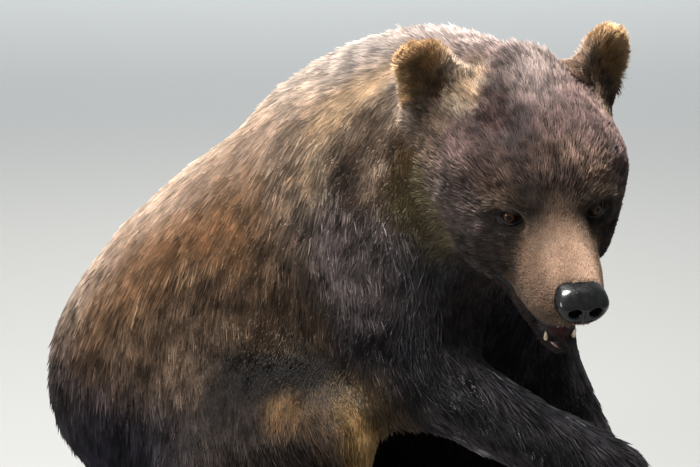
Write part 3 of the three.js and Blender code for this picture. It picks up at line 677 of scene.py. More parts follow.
# %% Eye axes
GAZE = np.array((0.88, 0.42, 0.22))  # of the left eye; the right one mirrors it
LID_HALF = (0.0134, 0.0084)
LID_SLANT = -0.18  # the inner corner is the lower one
INNER_STRETCH = 0.82  # and the longer one
LID_THICK = 0.0020
LID_RIM, LID_FOLD = 0.0009, 0.0016  # the rim's height and the depth of the fold above it
SOCKET_DROP = 0.004  # how far behind the ball's front the skin of the socket lies


def eye_map(local):
    """Across, up and out from the nearer eye's centre, and which way `out` points."""
    away = folded(local) - np.array(EYE)
    out = GAZE / np.linalg.norm(GAZE)
    up = np.array((0, 0, 1.0)) - out * out[2]
    up /= np.linalg.norm(up)
    across = np.cross(up, out)
    return away @ across, away @ up, away @ out, out


def almond(across, up):
    """1 on the edge of the lids' opening, less inside it."""
    level = up + LID_SLANT * across
    wide = across * np.where(across < 0, INNER_STRETCH, 1)
    return np.hypot(wide / LID_HALF[0], level / LID_HALF[1])


def sculpt_lids(local):
    across, up, out, way = eye_map(local)
    ring = across ** 2 + up ** 2
    edge = almond(across, up)
    ball = np.sqrt(np.maximum(EYE_RADIUS ** 2 - ring, 0))
    lid = np.sqrt(np.maximum((EYE_RADIUS + LID_THICK) ** 2 - ring, 0))
    lid += LID_RIM * np.exp(-((edge - 1.12) / 0.12) ** 2)
    lid -= LID_FOLD * np.exp(-((edge - 1.75) / 0.22) ** 2) * (up > 0)
    rim = ramp(edge, 0.94, 1.08)
    inner = ball - SOCKET_DROP + rim * (lid - ball + SOCKET_DROP)
    wanted = inner + ramp(edge, 1.15, 2.6) * (out - inner)
    near = (edge < 2.6) & (out > -0.002) & (out < 0.045) & (ring < 0.034 ** 2)
    shift = np.where(near, wanted - out, 0)
    mirrored = np.where(local[:, 1:2] < 0, (1.0, -1.0, 1.0), 1.0)
    return local + shift[:, None] * way * mirrored


def swell_at(local, at, reach, height, normals):
    """A soft bulge, or with a negative height a hollow, on both sides of the head."""
    far = np.linalg.norm((folded(local) - np.array(at)) / np.array(reach), axis=1)
    return normals * (height * np.exp(-far * far))[:, None]


print("lids' opening:", 2 * LID_HALF[0], "by", 2 * LID_HALF[1], "m")

# %% [markdown]
# ## Features of the face
# Brow ridges shade the eyes, a groove runs from each eye's inner corner towards the nose, the
# bridge is flat, the lips are full, and the ears are cupped. Each is a soft bulge or hollow.

# %% Sculpt the face
FEATURES = {
    "brow": ((-0.010, 0.062, 0.026), (0.020, 0.020, 0.013), 0.0045),
    "brow_inner": ((0.012, 0.040, 0.024), (0.014, 0.012, 0.012), 0.0035),
    "under_brow": ((0.004, 0.052, 0.010), (0.010, 0.008, 0.005), -0.0030),
    "tear": ((0.020, 0.056, -0.010), (0.012, 0.006, 0.007), -0.0030),
    "under_eye": ((0.010, 0.078, -0.020), (0.022, 0.014, 0.007), 0.0025),
    "temple": ((-0.055, 0.118, 0.030), (0.030, 0.020, 0.022), -0.0050),
    "cheekbone": ((-0.020, 0.098, -0.028), (0.030, 0.020, 0.020), 0.0050),
    "muzzle_root": ((0.042, 0.060, -0.020), (0.020, 0.014, 0.018), -0.0040),
    "forehead_furrow": ((-0.010, 0.0, 0.060), (0.045, 0.012, 0.035), -0.0045),
    "lip": ((0.120, 0.046, -0.092), (0.045, 0.018, 0.020), 0.0060),
    "lip_edge": ((0.120, 0.034, -0.110), (0.050, 0.022, 0.013), 0.0080),
    "lip_front": ((0.165, 0.018, -0.100), (0.016, 0.016, 0.014), 0.0045),
    "muzzle_side": ((0.080, 0.056, -0.060), (0.035, 0.016, 0.022), 0.0040),
    "ear_cup": ((-0.205, 0.150, 0.122), (0.026, 0.026, 0.034), -0.0110),
}

points = places_of(skin.data)
normals = normals_of(skin.data) @ HEAD_AXES
local = to_head(points)
for at, reach, height in FEATURES.values():
    local += swell_at(local, at, reach, height, normals)
local = sculpt_lids(local)
place(skin.data, from_head(local))
print("face features:", len(FEATURES))


# %% [markdown]
# ## Bare places
# Lids, lips, the inside of the mouth, the seat of the nose pad and the soles carry no hair. They
# could be painted by hand, but each is easy to tell from where it is and from the way its skin
# faces, so a few smooth ramps find them all.

# %% Bare places
MOUTH_CORNER, MOUTH_FRONT = (0.045, -0.134), (0.160, -0.136)  # x and z of the gape's middle line


def bare_skin(points, normals):
    """How bare of hair the skin is, how far inside the mouth, and how near a lower lid's wet edge, where the
    sky's reflection is painted.
    """
    local, facing = to_head(points), normals @ HEAD_AXES
    across, up, out, _ = eye_map(local)
    edge = almond(across, up)
    at_eye = (np.hypot(across, up) < 0.03) & (out > -0.004)
    lids = (1 - ramp(edge, 1.16, 1.34)) * at_eye
    slope = (MOUTH_FRONT[1] - MOUTH_CORNER[1]) / (MOUTH_FRONT[0] - MOUTH_CORNER[0])
    off_gape = local[:, 2] - MOUTH_CORNER[1] - slope * (local[:, 0] - MOUTH_CORNER[0])
    to_gape = -np.sign(off_gape) * facing[:, 2]
    in_reach = (np.abs(off_gape) < 0.036) & (np.abs(local[:, 1]) < 0.085)
    in_reach &= (local[:, 0] > -0.05) & (local[:, 0] < 0.2)
    lips = ramp(to_gape, 0.10, 0.45) * in_reach
    mouth = ramp(to_gape, 0.55, 0.85) * in_reach
    # where a reflection of the sky is painted on the wet edge of the lower lid
    lid_reflection = np.exp(-((edge - 1.05) / 0.07) ** 2) * at_eye * ramp(-up, 0.0, 0.003)
    nose_far = np.linalg.norm((local - (0.176, 0, -0.054)) / (0.028, 0.047, 0.039), axis=1)
    nose = 1 - ramp(nose_far, 0.96, 1.04)
    sole = (1 - ramp(points[:, 2], 0.004, 0.010)) * ramp(-normals[:, 2], 0.5, 0.8)
    return np.maximum.reduce([lids, lips, nose, sole]), mouth, lid_reflection


points, normals = places_of(skin.data), normals_of(skin.data)
bare, mouth, lid_reflection = bare_skin(points, normals)
print("bare points:", int((bare > 0.5).sum()), "of", len(points))

# %% [markdown]
# ## Write the coat's numbers on the skin
# Geometry Nodes and the materials read the coat from named attributes of the skin's points.

# %% Attributes
KINDS = {1: ("FLOAT", "value"), 3: ("FLOAT_VECTOR", "vector")}
BROAD_WANDER, FINE_WANDER = (0.28, 14, 3), (0.25, 40, 7)  # share, waves per metre, seed
# the skin between tufts is a darker undercoat with painted shade, deeper under long hair
UNDERCOAT_AND_SHADE = 0.45  # how bright the skin is between long tufts; between short ones, twice that
FAR_SIDE_THIN = 0.3  # how much thinner the coat is on the left flank and hind leg
NOISE_SEED = 1  # unseeded, the noise starts from the clock, and no two runs are alike


def write(mesh, name, values, domain="POINT"):
    values = np.asarray(values, dtype=np.float32)
    kind, field = KINDS[1 if values.ndim == 1 else 3]
    mesh.attributes.new(name, kind, domain).data.foreach_set(field, values.ravel())


def wander(points, scale, seed):
    """A slow vector noise over points."""
    shift = Vector((seed, -seed, 2 * seed))
    return np.array([noise.noise_vector(Vector(p) * scale + shift) for p in points])


noise.seed_set(NOISE_SEED)
coat = coat_at(points)
lie = coat["flow"]
for share, scale, seed in (BROAD_WANDER, FINE_WANDER):
    lie = lie + share * wander(points, scale, seed)
lie -= normals * (lie * normals).sum(1)[:, None]
lie /= np.maximum(np.linalg.norm(lie, axis=1), 1e-6)[:, None]
for name in ("length", "width", "lift", "wet", "stray", "mottle", "speckle", "tone"):
    write(skin.data, name, coat[name])
write(skin.data, "lie", lie)
write(skin.data, "bare", bare)
write(skin.data, "mouth", mouth)
write(skin.data, "lid_reflection", lid_reflection)
# darkening of the skin between tufts: undercoat and painted shade, deeper under long hair
write(skin.data, "under", UNDERCOAT_AND_SHADE * (2 - ramp(coat["length"], 0.009, 0.028)))
far_side = 1 + FAR_SIDE_THIN * ramp(points[:, 1], 0.05, 0.2) * ramp(0.25 - points[:, 0], 0, 0.1)
write(skin.data, "thick", (1 - ramp(bare, 0.1, 0.5)) * 1e6 / coat["room"] / far_side)
print("attributes of the skin:", len(skin.data.attributes))

# %% [markdown]
# ## A small hand for node trees
# A tree wired one link at a time is hard to read. Here a class wraps a node's output, so that sums
# and products of wires turn into Math nodes by themselves, and one method makes any other node.

# %% Node helpers
class Wire:
    """A node's output socket. Sums on wires add Math nodes."""

    def __init__(self, tree, socket):
        self.tree, self.socket = tree, socket

    def __add__(self, other):
        return self.tree.math("ADD", self, other)

    def __sub__(self, other):
        return self.tree.math("SUBTRACT", self, other)

    def __rsub__(self, other):
        return self.tree.math("SUBTRACT", other, self)

    def __mul__(self, other):
        return self.tree.math("MULTIPLY", self, other)

    __radd__, __rmul__ = __add__, __mul__


class Tree:
    """A node tree, of a material or of geometry, that is written as expressions."""

    def __init__(self, nodes):
        self.nodes = nodes
        nodes.nodes.clear()

    def node(self, kind, settings=None, sockets=None, out=0):
        made = self.nodes.nodes.new(kind)
        for name, value in (settings or {}).items():
            setattr(made, name, value)
        for key, value in (sockets or {}).items():
            self.feed(made.inputs[key], value)
        return Wire(self, made.outputs[out]) if len(made.outputs) else made

    def feed(self, socket, value):
        if isinstance(value, Wire):
            self.nodes.links.new(value.socket, socket)
        else:
            socket.default_value = value

    def math(self, operation, a, b):
        return self.node("ShaderNodeMath", {"operation": operation}, {0: a, 1: b})

    def vector(self, operation, a, b):
        return self.node("ShaderNodeVectorMath", {"operation": operation}, {0: a, 1: b})

    def scaled(self, vector, factor):
        return self.node("ShaderNodeVectorMath", {"operation": "SCALE"}, {0: vector, "Scale": factor})

    def mix(self, factor, a, b):
        return self.node("ShaderNodeMix", {"data_type": "RGBA"}, {0: factor, 6: a, 7: b}, 2)

    def ranged(self, value, low, high, new_low=0.0, new_high=1.0):
        return self.node("ShaderNodeMapRange", {"interpolation_type": "SMOOTHSTEP"},
                         {0: value, 1: low, 2: high, 3: new_low, 4: new_high})


class Material(Tree):
    """A material with one Principled shader."""

    def __init__(self, name, **fixed):
        self.made = bpy.data.materials.new(name)
        self.made.use_nodes = True
        super().__init__(self.made.node_tree)
        self.shader = self.nodes.nodes.new("ShaderNodeBsdfPrincipled")
        out = self.nodes.nodes.new("ShaderNodeOutputMaterial")
        self.nodes.links.new(self.shader.outputs[0], out.inputs[0])
        self.set(**fixed)

    def set(self, **sockets):
        for name, value in sockets.items():
            self.feed(self.shader.inputs[name.replace("_", " ")], value)

    def attribute(self, name, out="Fac"):
        return self.node("ShaderNodeAttribute", {"attribute_name": name}, None, out)

    def places(self):
        return self.node("ShaderNodeTexCoord", None, None, "Object")

    def noise(self, scale, detail):
        return self.node("ShaderNodeTexNoise", None,
                         {"Vector": self.places(), "Scale": scale, "Detail": detail})

    def bump(self, height, strength, distance):
        self.set(Normal=self.node("ShaderNodeBump", None,
                                  {"Strength": strength, "Distance": distance, "Height": height}))


print("node helpers:", Wire.__name__, Tree.__name__, Material.__name__)

# %% [markdown]
# ## The look of hair
# A hair is dark at its root and paler towards its tip, by its own banding and by painted shade deep in the
# coat, its neighbours differ from it, and dry tips catch the light. A picture laid over the body would
# stretch, so the material reads all this from attributes: how far along its tuft a point is, and a chance
# that is each tuft's own.

# %% The coat's material
ROOT_BRIGHT, TIP_RISE = 0.36, 0.86
TUFTS_APART, PLACES_APART = 1.45, 0.38  # how much tufts, and broad places, differ in brightness
MEAN_CHANCE = 0.48
BARE_LEATHER, MOUTH_FLESH = (0.010, 0.008, 0.008, 1), (0.045, 0.016, 0.016, 1)
# the lid colour is a painted reflection of the sky on the wet lower lid
PAINTED_LID_REFLECTION, SPECK = (0.11, 0.12, 0.14, 1), (0.02, 0.013, 0.010, 1)


def fur_material(name, tuft):
    fur = Material(name, Sheen_Weight=0.05, Sheen_Roughness=0.4, Sheen_Tint=(0.88, 0.93, 1.0, 1),
                   Coat_Roughness=0.24, Specular_IOR_Level=0.18)
    tone = fur.attribute("tone", "Vector")
    mottle, wet = fur.attribute("mottle"), fur.attribute("wet")
    patchy = fur.ranged(fur.noise(26, 4), 0.3, 0.7, -PLACES_APART, PLACES_APART) * mottle + 1
    if tuft:
        along, chance = fur.attribute("along"), fur.attribute("chance")
        apart = (chance - MEAN_CHANCE) * mottle * TUFTS_APART + 1
        # dark roots: the hair's own banding and painted shade between the tufts
        bright = (ROOT_BRIGHT + along * TIP_RISE) * apart
        tone = fur.scaled(tone, bright * patchy)
        tip = fur.ranged(along, 0.55, 1.0) * fur.ranged(chance, 0.55, 0.95)
        grey = fur.vector("ADD", fur.scaled(tone, 1.2), (0.03, 0.026, 0.025))
        tone = fur.mix(tip * (1 - wet) * mottle * 0.6, tone, grey)
    else:
        # the skin between the tufts: its undercoat darkened by painted shade, more under long hair
        tone = fur.scaled(tone, patchy * fur.attribute("under"))
        tone = fur.mix(fur.attribute("bare"), tone, BARE_LEATHER)
        tone = fur.mix(fur.attribute("mouth"), tone, MOUTH_FLESH)
        # painted reflection of the sky on the wet lower lid
        tone = fur.mix(fur.attribute("lid_reflection"), tone, PAINTED_LID_REFLECTION)
        wet = fur.math("MAXIMUM", wet, fur.attribute("bare") * 0.5)
        fur.bump(fur.noise(700, 3), 0.5, 0.001)
    spots = fur.ranged(fur.noise(230, 1), 0.60, 0.68) * fur.attribute("speckle")
    tone = fur.mix(spots * 0.8, tone, SPECK)
    fur.set(Base_Color=tone, Roughness=0.74 - wet * 0.34, Coat_Weight=wet * 0.22)
    return fur.made


coat_look = fur_material("coat", True)
skin_look = fur_material("skin", False)
skin.data.materials.clear()
skin.data.materials.append(skin_look)
print("materials:", coat_look.name, skin_look.name)

# %% [markdown]
# ## One tuft
# A lock of hair is a thin blade, wide at its root and pointed at its tip. Hair curves would look
# finer, but only solid mesh lasts in an export, and a shape that is laid hundreds of thousands of
# times has to be tiny: four corners and four faces, with a ridge along its back.

# %% One tuft
def tuft_mesh():
    mesh = bpy.data.meshes.new("tuft")
    corners = [(-0.5, 0, 0), (0.5, 0, 0), (0, 0.42, 0.11), (0, 1, 0)]
    mesh.from_pydata(corners, [], [(0, 1, 2), (1, 3, 2), (3, 0, 2), (0, 3, 1)])
    write(mesh, "along", [0.0, 0.0, 0.45, 1.0])
    return mesh


tuft = add_object("tuft", tuft_mesh())
print("tuft:", len(tuft.data.polygons), "faces")

# %% [markdown]
# ## Laying the tufts
# Hair grows all over the skin at random, yet it lies one way and clumps into locks. Geometry Nodes
# suit that: points are spread by the thickness of the coat, each tuft is turned along the lie with
# some stray, a noise makes neighbours lean together, and the instances are made real at the end.

# %% Scatter tree
CLUMPS, LOCKS = 55.0, 80.0  # how fine the clumps and the locks of one brightness are, per metre
LEAN, FLATTEN = 4.5, 0.75  # how far clumps lean together, and how much of their upright part goes
LENGTHS, WIDTHS = (0.60, 1.30), (0.7, 1.3)  # how tufts of one place differ
LOCK_SHARE, OWN_SHARE = 0.45, 0.55  # of a tuft's chance, from its lock and of its own
STRAY_SEED, LENGTH_SEED, WIDTH_SEED, CHANCE_SEED = 5, 11, 12, 13


def coat_tree():
    group = bpy.data.node_groups.new("coat", "GeometryNodeTree")
    tree = Tree(group)
    sockets = {"Skin": "Geometry", "Tuft": "Object", "Zone": "Int", "Thickness": "Float", "Seed": "Int",
               "Look": "Material"}
    for name, kind in sockets.items():
        group.interface.new_socket(name, in_out="INPUT", socket_type="NodeSocket" + kind)
    group.interface.new_socket("Coat", in_out="OUTPUT", socket_type="NodeSocketGeometry")
    inputs = group.nodes.new("NodeGroupInput")

    def given(name):
        return Wire(tree, inputs.outputs[name])

    def named(name, kind="FLOAT"):
        return tree.node("GeometryNodeInputNamedAttribute", {"data_type": kind}, {"Name": name})

    def chance(low, high, seed):
        return tree.node("FunctionNodeRandomValue", {"data_type": "FLOAT"},
                         {2: low, 3: high, "Seed": seed}, 1)

    here = tree.node("FunctionNodeCompare", {"data_type": "INT", "operation": "EQUAL"},
                     {2: named("zone", "INT"), 3: given("Zone")})
    part = tree.node("GeometryNodeSeparateGeometry", {"domain": "FACE"},
                     {"Geometry": given("Skin"), "Selection": here})
    spread = group.nodes.new("GeometryNodeDistributePointsOnFaces")
    tree.feed(spread.inputs["Mesh"], part)
    tree.feed(spread.inputs["Density"], named("thick") * given("Thickness"))
    tree.feed(spread.inputs["Seed"], given("Seed"))
    points, normal = Wire(tree, spread.outputs["Points"]), Wire(tree, spread.outputs["Normal"])
    stray = tree.node("FunctionNodeRandomValue", {"data_type": "FLOAT_VECTOR"},
                      {0: (-1, -1, -1), 1: (1, 1, 1), "Seed": STRAY_SEED}, 0)
    clump = tree.node("ShaderNodeTexNoise", None, {"Scale": CLUMPS, "Detail": 2.0}, 1)
    lean = tree.vector("SUBTRACT", clump, (0.5, 0.5, 0.5))
    stray = tree.vector("ADD", stray, tree.scaled(lean, LEAN))
    upright = tree.vector("PROJECT", stray, normal)
    stray = tree.vector("SUBTRACT", stray, tree.scaled(upright, FLATTEN))
    way = tree.vector("ADD", named("lie", "FLOAT_VECTOR"), tree.scaled(normal, named("lift")))
    way = tree.vector("ADD", way, tree.scaled(stray, named("stray")))
    turn = tree.node("FunctionNodeAxesToRotation", {"primary_axis": "Y", "secondary_axis": "Z"},
                     {"Primary Axis": way, "Secondary Axis": normal})
    length = named("length") * chance(*LENGTHS, LENGTH_SEED)
    lock = tree.node("ShaderNodeTexNoise", None, {"Scale": LOCKS, "Detail": 2.0})
    lock = tree.ranged(lock, 0.36, 0.64, 0.0, LOCK_SHARE)
    own = chance(0.0, OWN_SHARE, CHANCE_SEED)
    size = tree.node("ShaderNodeCombineXYZ", None,
                     {0: named("width") * chance(*WIDTHS, WIDTH_SEED), 1: length, 2: length})
    points = tree.node("GeometryNodeStoreNamedAttribute", {"data_type": "FLOAT"},
                       {"Geometry": points, "Name": "chance", "Value": lock + own})
    points = tree.node("GeometryNodeStoreNamedAttribute", {"data_type": "FLOAT_VECTOR"},
                       {"Geometry": points, "Name": "root", "Value": tree.node("GeometryNodeInputPosition")})
    shape = tree.node("GeometryNodeObjectInfo", None, {"Object": given("Tuft")}, "Geometry")
    tufts = tree.node("GeometryNodeInstanceOnPoints", None,
                      {"Points": points, "Instance": shape, "Rotation": turn, "Scale": size})
    solid = tree.node("GeometryNodeRealizeInstances", None, {"Geometry": tufts})
    solid = tree.node("GeometryNodeSetMaterial", None, {"Geometry": solid, "Material": given("Look")})
    end = group.nodes.new("NodeGroupOutput")
    tree.feed(end.inputs["Coat"], solid)
    return group


group = coat_tree()
print("nodes of the scatter tree:", len(group.nodes))

# %% [markdown]
# ## Zones of the coat
# One mesh with every tuft would be too heavy to handle, so the coat is laid in fifteen pieces.
# Each face of the skin goes to the zone whose line is nearest, which needs no painted borders, and
# the tufts of neighbouring zones overlap, so that no seam shows.

# %% Zones
ZONES = {  # each zone's line, whether it lies in the head's axes, and a factor on the way to it
    "muzzle": ((0.09, 0, -0.03), (0.14, 0, -0.12), True, 0.9),
    "brow": ((0.0, 0, 0.06), (-0.06, 0, 0.09), True, 0.9),
    "right_cheek": ((0.0, -0.12, -0.03), (-0.06, -0.12, -0.10), True, 1.0),
    "left_cheek": ((0.0, 0.12, -0.03), (-0.06, 0.12, -0.10), True, 1.0),
    "crown": ((-0.17, 0, 0.10), (-0.20, 0, 0.10), True, 1.0),
    "neck": ((0.14, -0.05, 0.66), (0.26, -0.10, 0.60), False, 0.95),
    "arms": ((0.16, 0, 0.35), (0.40, 0, 0.12), False, 1.15),
    "right_shoulder": ((0.05, -0.26, 0.56), (0.05, -0.26, 0.40), False, 1.0),
    "left_shoulder": ((0.05, 0.26, 0.56), (0.05, 0.26, 0.40), False, 1.0),
    "right_flank": ((-0.22, -0.22, 0.42), (-0.22, -0.22, 0.40), False, 1.0),
    "left_flank": ((-0.22, 0.22, 0.42), (-0.22, 0.22, 0.40), False, 1.0),
    "back": ((-0.35, 0, 0.6), (-0.10, 0, 0.74), False, 1.0),
    "rump": ((-0.50, 0, 0.15), (-0.45, 0, 0.30), False, 1.0),
    "right_leg": ((-0.20, -0.33, 0.10), (0.08, -0.33, 0.10), False, 1.0),
    "left_leg": ((-0.20, 0.33, 0.10), (0.08, 0.33, 0.10), False, 1.0),
}


def zone_of(points):
    local = to_head(points)
    far = [distance_to_line(local if zone[2] else points, zone[0], zone[1]) * zone[3]
           for zone in ZONES.values()]
    return np.argmin(far, axis=0)


centres = np.empty(len(skin.data.polygons) * 3)
skin.data.polygons.foreach_get("center", centres)
zones = zone_of(centres.reshape(-1, 3)).astype(np.int32)
skin.data.attributes.new("zone", "INT", "FACE").data.foreach_set("value", zones)
print("zones:", len(ZONES))


# %% Grow one piece of the coat
TUFT_SHARE = 1.0
FIRST_SEED = 20


def socket_id(group, name):
    return next(item.identifier for item in group.interface.items_tree
                if item.name == name and item.in_out == "INPUT")


def grow(zone, index):
    item = add_object("coat_" + zone, skin.data.copy())
    spread = item.modifiers.new("coat", "NODES")
    spread.node_group = group
    given = {"Tuft": tuft, "Zone": index, "Thickness": TUFT_SHARE, "Seed": FIRST_SEED + index,
             "Look": coat_look}
    for name, value in given.items():
        spread[socket_id(group, name)] = value
    settled(item)
    return item


print("share of the tufts that is laid:", TUFT_SHARE)

# %% [markdown]
# ## A map for the bake
# An export without node materials needs a picture of each coat's colours, and a map that says
# where each tuft finds its own. Unwrapping hundreds of thousands of blades would be slow and would
# scatter them. A tuft is so small that a tiny patch is enough, at the place of its root on a label
# that is wrapped once round the zone.

# %% Bake maps
PATCH = 0.003
SPENT = ("root", "lie", "length", "width", "lift", "stray", "thick", "bare", "mouth", "lid_reflection", "under")


def roots_of(mesh):
    data = mesh.attributes["root"].data
    values = np.empty(len(data) * 3, dtype=np.float32)
    data.foreach_get("vector", values)
    return values.reshape(-1, 3).astype(float)


def unwrap(roots, zone):
    """Round a line through the zone, as a label goes round a bottle."""
    start, end, in_head, _ = ZONES[zone]
    places = to_head(roots) if in_head else roots
    axis = np.array(end) - np.array(start)
    axis /= np.linalg.norm(axis)
    side = np.cross(axis, (0, 1, 0) if abs(axis[1]) < 0.8 else (1, 0, 0))
    side /= np.linalg.norm(side)
    other = np.cross(axis, side)
    away = places - np.array(start)
    along = away @ axis
    round_it = np.arctan2(away @ other, away @ side) / (2 * np.pi) + 0.5
    span = max(np.ptp(along), 1e-6)
    return np.stack([round_it, (along - along.min()) / span], 1) * (1 - 2 * PATCH) + PATCH


def lay_out(item, zone):
    mesh = item.data
    roots = roots_of(mesh)
    corner = np.empty(len(mesh.loops), dtype=np.int32)
    mesh.loops.foreach_get("vertex_index", corner)
    local = np.array([(-0.5, 0.0), (0.5, 0.0), (0.0, 0.45), (0.0, 1.0)]) * PATCH
    spots = unwrap(roots, zone) + local[np.arange(len(roots)) % 4]
    layer = mesh.uv_layers.new(name="OFBake")
    layer.data.foreach_set("uv", spots[corner].astype(np.float32).ravel())
    place(mesh, above_floor(places_of(mesh)))
    for name in SPENT:
        if name in mesh.attributes:
            mesh.attributes.remove(mesh.attributes[name])


print("a tuft's patch of the map:", PATCH)

# %% Grow the whole coat
coats = []
for index, zone in enumerate(ZONES):
    item = grow(zone, index)
    lay_out(item, zone)
    coats.append(item)
    print(zone, "tufts:", len(item.data.polygons) // 4)
bpy.data.objects.remove(tuft)
print("coat triangles:", sum(len(item.data.polygons) for item in coats))
for name in ("length", "width", "lift", "stray", "lie", "thick", "zone"):
    skin.data.attributes.remove(skin.data.attributes[name])

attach(skin, "root")
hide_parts(*FLESH)
for item in coats:
    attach(item, "root")

# %% [markdown]
# ## Eyes
# A bear's eye is small and round, with an amber iris, a dark ring round it and hardly any white.
# A picture of an iris would blur from near by. Here the colours are rings round the axis of gaze,
# the ball bulges slightly over the iris, and a clear coat gives it its wet gleam.

# %% Eyeballs
IRIS, PUPIL, CORNEA = 0.0096, 0.0046, 0.0011
RINGS, SPOKES = 40, 64
EYE_LOOK = (0.88, 0.38, 0.24)  # where the left eye looks, in the head's axes


def mesh_of(shape, name):
    """A bmesh turned into a mesh, and freed."""
    mesh = bpy.data.meshes.new(name)
    shape.to_mesh(mesh)
    shape.free()
    return mesh


def shade_smooth(mesh):
    mesh.polygons.foreach_set("use_smooth", [True] * len(mesh.polygons))


def ball(radius_at):
    """A closed ball about +Z whose radius follows the angle from the pole."""
    shape = bmesh.new()
    bmesh.ops.create_uvsphere(shape, u_segments=SPOKES, v_segments=RINGS, radius=1)
    for vert in shape.verts:
        vert.co *= radius_at(vert.co.normalized())
    return shape


def eyeball(side, name):
    bulge = IRIS / EYE_RADIUS

    def radius_at(way):
        off = Vector((way.x, way.y)).length / (1.15 * bulge)
        return EYE_RADIUS + (CORNEA * max(0, 1 - off ** 2) if way.z > 0 else 0)

    mesh = mesh_of(ball(radius_at), name)
    flat = places_of(mesh)
    write(mesh, "from_axis", np.where(flat[:, 2] > 0, np.hypot(flat[:, 0], flat[:, 1]), 0.05))
    write(mesh, "spoke", np.stack([flat[:, 0], flat[:, 1], 0 * flat[:, 0]], 1))
    look = Vector((EYE_LOOK[0], side * EYE_LOOK[1], EYE_LOOK[2])).normalized()
    turn = (head_turn @ look).to_track_quat("Z", "Y").to_matrix()
    at = np.array(middle_of(name))
    place(mesh, flat @ np.array(turn).T + at)
    shade_smooth(mesh)
    return add_object(name + "_ball", mesh)


print("iris:", 2 * IRIS, "m across")

# %% The eye's material
IRIS_DARK, IRIS_LIGHT = (0.020, 0.007, 0.003, 1), (0.060, 0.022, 0.008, 1)
IRIS_INNER, IRIS_RING = (0.066, 0.027, 0.010, 1), (0.010, 0.006, 0.005, 1)
PUPIL_BLACK, EYE_WHITE = (0.002, 0.002, 0.002, 1), (0.05, 0.04, 0.04, 1)


def eye_material():
    eye = Material("eye", Roughness=0.3, Coat_Weight=0.25, Coat_Roughness=0.02, Specular_IOR_Level=0.03)
    far = eye.attribute("from_axis")
    flecks = eye.node("ShaderNodeTexNoise", None,
                      {"Vector": eye.scaled(eye.attribute("spoke", "Vector"), 900.0), "Scale": 1.0,
                       "Detail": 3.0})
    iris = eye.mix(flecks, IRIS_DARK, IRIS_LIGHT)
    iris = eye.mix(eye.ranged(far, PUPIL, IRIS * 0.85), IRIS_INNER, iris)
    ring = eye.ranged(far, IRIS * 0.74, IRIS * 1.0)
    colour = eye.mix(ring, iris, IRIS_RING)
    colour = eye.mix(eye.ranged(far, PUPIL * 0.92, PUPIL * 1.12), PUPIL_BLACK, colour)
    colour = eye.mix(eye.ranged(far, IRIS * 1.25, IRIS * 1.5), colour, EYE_WHITE)
    eye.set(Base_Color=colour)
    return eye.made


eye_look = eye_material()
for side, name in ((-1, "eye_right"), (1, "eye_left")):
    item = eyeball(side, name)
    item.data.materials.append(eye_look)
    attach(item, "root")
    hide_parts(name)
print("eyes set in their sockets")

# %% [markdown]
# ## Nose
# The nose pad is a blunt block of black, pebbled leather. Two round nostrils open in front, each
# with a slit that curls out to the side, and a groove parts the pad in the middle. Sculpting would
# take many strokes: here a ball is made boxy by a power, and its holes are pressed in by formula.

# %% Nose
NOSE_AT = np.array((0.175, 0.0, -0.056))
BOXY = 3.2  # 2 is a plain ellipsoid, and more is boxier
NOSE_HALF = np.array((0.0265, 0.0430, 0.0280))
NOSTRIL_AT, NOSTRIL_HALF = (0.0170, -0.001), (0.0092, 0.0075)  # y and z on the pad's left half
NOSTRIL_DEPTH, SLIT_DEPTH, GROOVE_DEPTH = 0.017, 0.0060, 0.0032
SLIT = [(0.022, 0.018, 0.001), (0.017, 0.031, 0.008), (0.009, 0.040, 0.003), (0.003, 0.041, -0.011)]


def round_mesh(name, levels):
    """A ball of even triangles, with a radius of one, to be shaped."""
    shape = bmesh.new()
    bmesh.ops.create_icosphere(shape, subdivisions=levels, radius=1)
    return mesh_of(shape, name)


def nose_mesh():
    mesh = round_mesh("nose_pad", 6)
    way = places_of(mesh)
    size = (np.abs(way / NOSE_HALF) ** BOXY).sum(1) ** (-1 / BOXY)
    flat = way * size[:, None]
    low = ramp(-flat[:, 2], 0.0, 0.030)
    flat[:, 1] *= 1 - 0.30 * low
    flat[:, 0] -= 0.012 * ramp(flat[:, 2], 0.006, 0.029)
    flat[:, 0] += 0.002 * np.exp(-((flat[:, 2] - 0.006) / 0.008) ** 2) * (flat[:, 0] > 0)
    half = folded(flat)
    front = ramp(flat[:, 0], -0.004, 0.012)
    away = (half[:, 1:] - NOSTRIL_AT) / NOSTRIL_HALF
    hole = np.hypot(away[:, 0], away[:, 1])
    flat[:, 0] -= NOSTRIL_DEPTH * np.exp(-hole ** 4) * front
    slit = np.min([distance_to_line(half, a, b) for a, b in zip(SLIT, SLIT[1:])], axis=0)
    outward = flat / np.linalg.norm(flat, axis=1)[:, None]
    flat -= outward * (SLIT_DEPTH * np.exp(-(slit / 0.0026) ** 2))[:, None]
    groove = np.exp(-(flat[:, 1] / 0.0018) ** 2) * ramp(-flat[:, 2], -0.008, 0.004) * front
    flat[:, 0] -= GROOVE_DEPTH * groove
    place(mesh, from_head(flat + NOSE_AT))
    shade_smooth(mesh)
    return mesh


def nose_material():
    nose = Material("nose", Coat_Weight=0.6, Coat_Roughness=0.14, Specular_IOR_Level=0.12)
    pebbles = nose.node("ShaderNodeTexVoronoi", {"feature": "DISTANCE_TO_EDGE"},
                        {"Vector": nose.places(), "Scale": 420.0})
    pebble = nose.ranged(pebbles, 0.0, 0.16)
    worn = nose.ranged(nose.noise(90, 3), 0.35, 0.7)
    nose.set(Base_Color=nose.mix(worn, (0.002, 0.0018, 0.002, 1), (0.006, 0.005, 0.0055, 1)))
    nose.set(Roughness=0.24 + worn * 0.14)
    nose.bump(pebble, 0.22, 0.0005)
    return nose.made


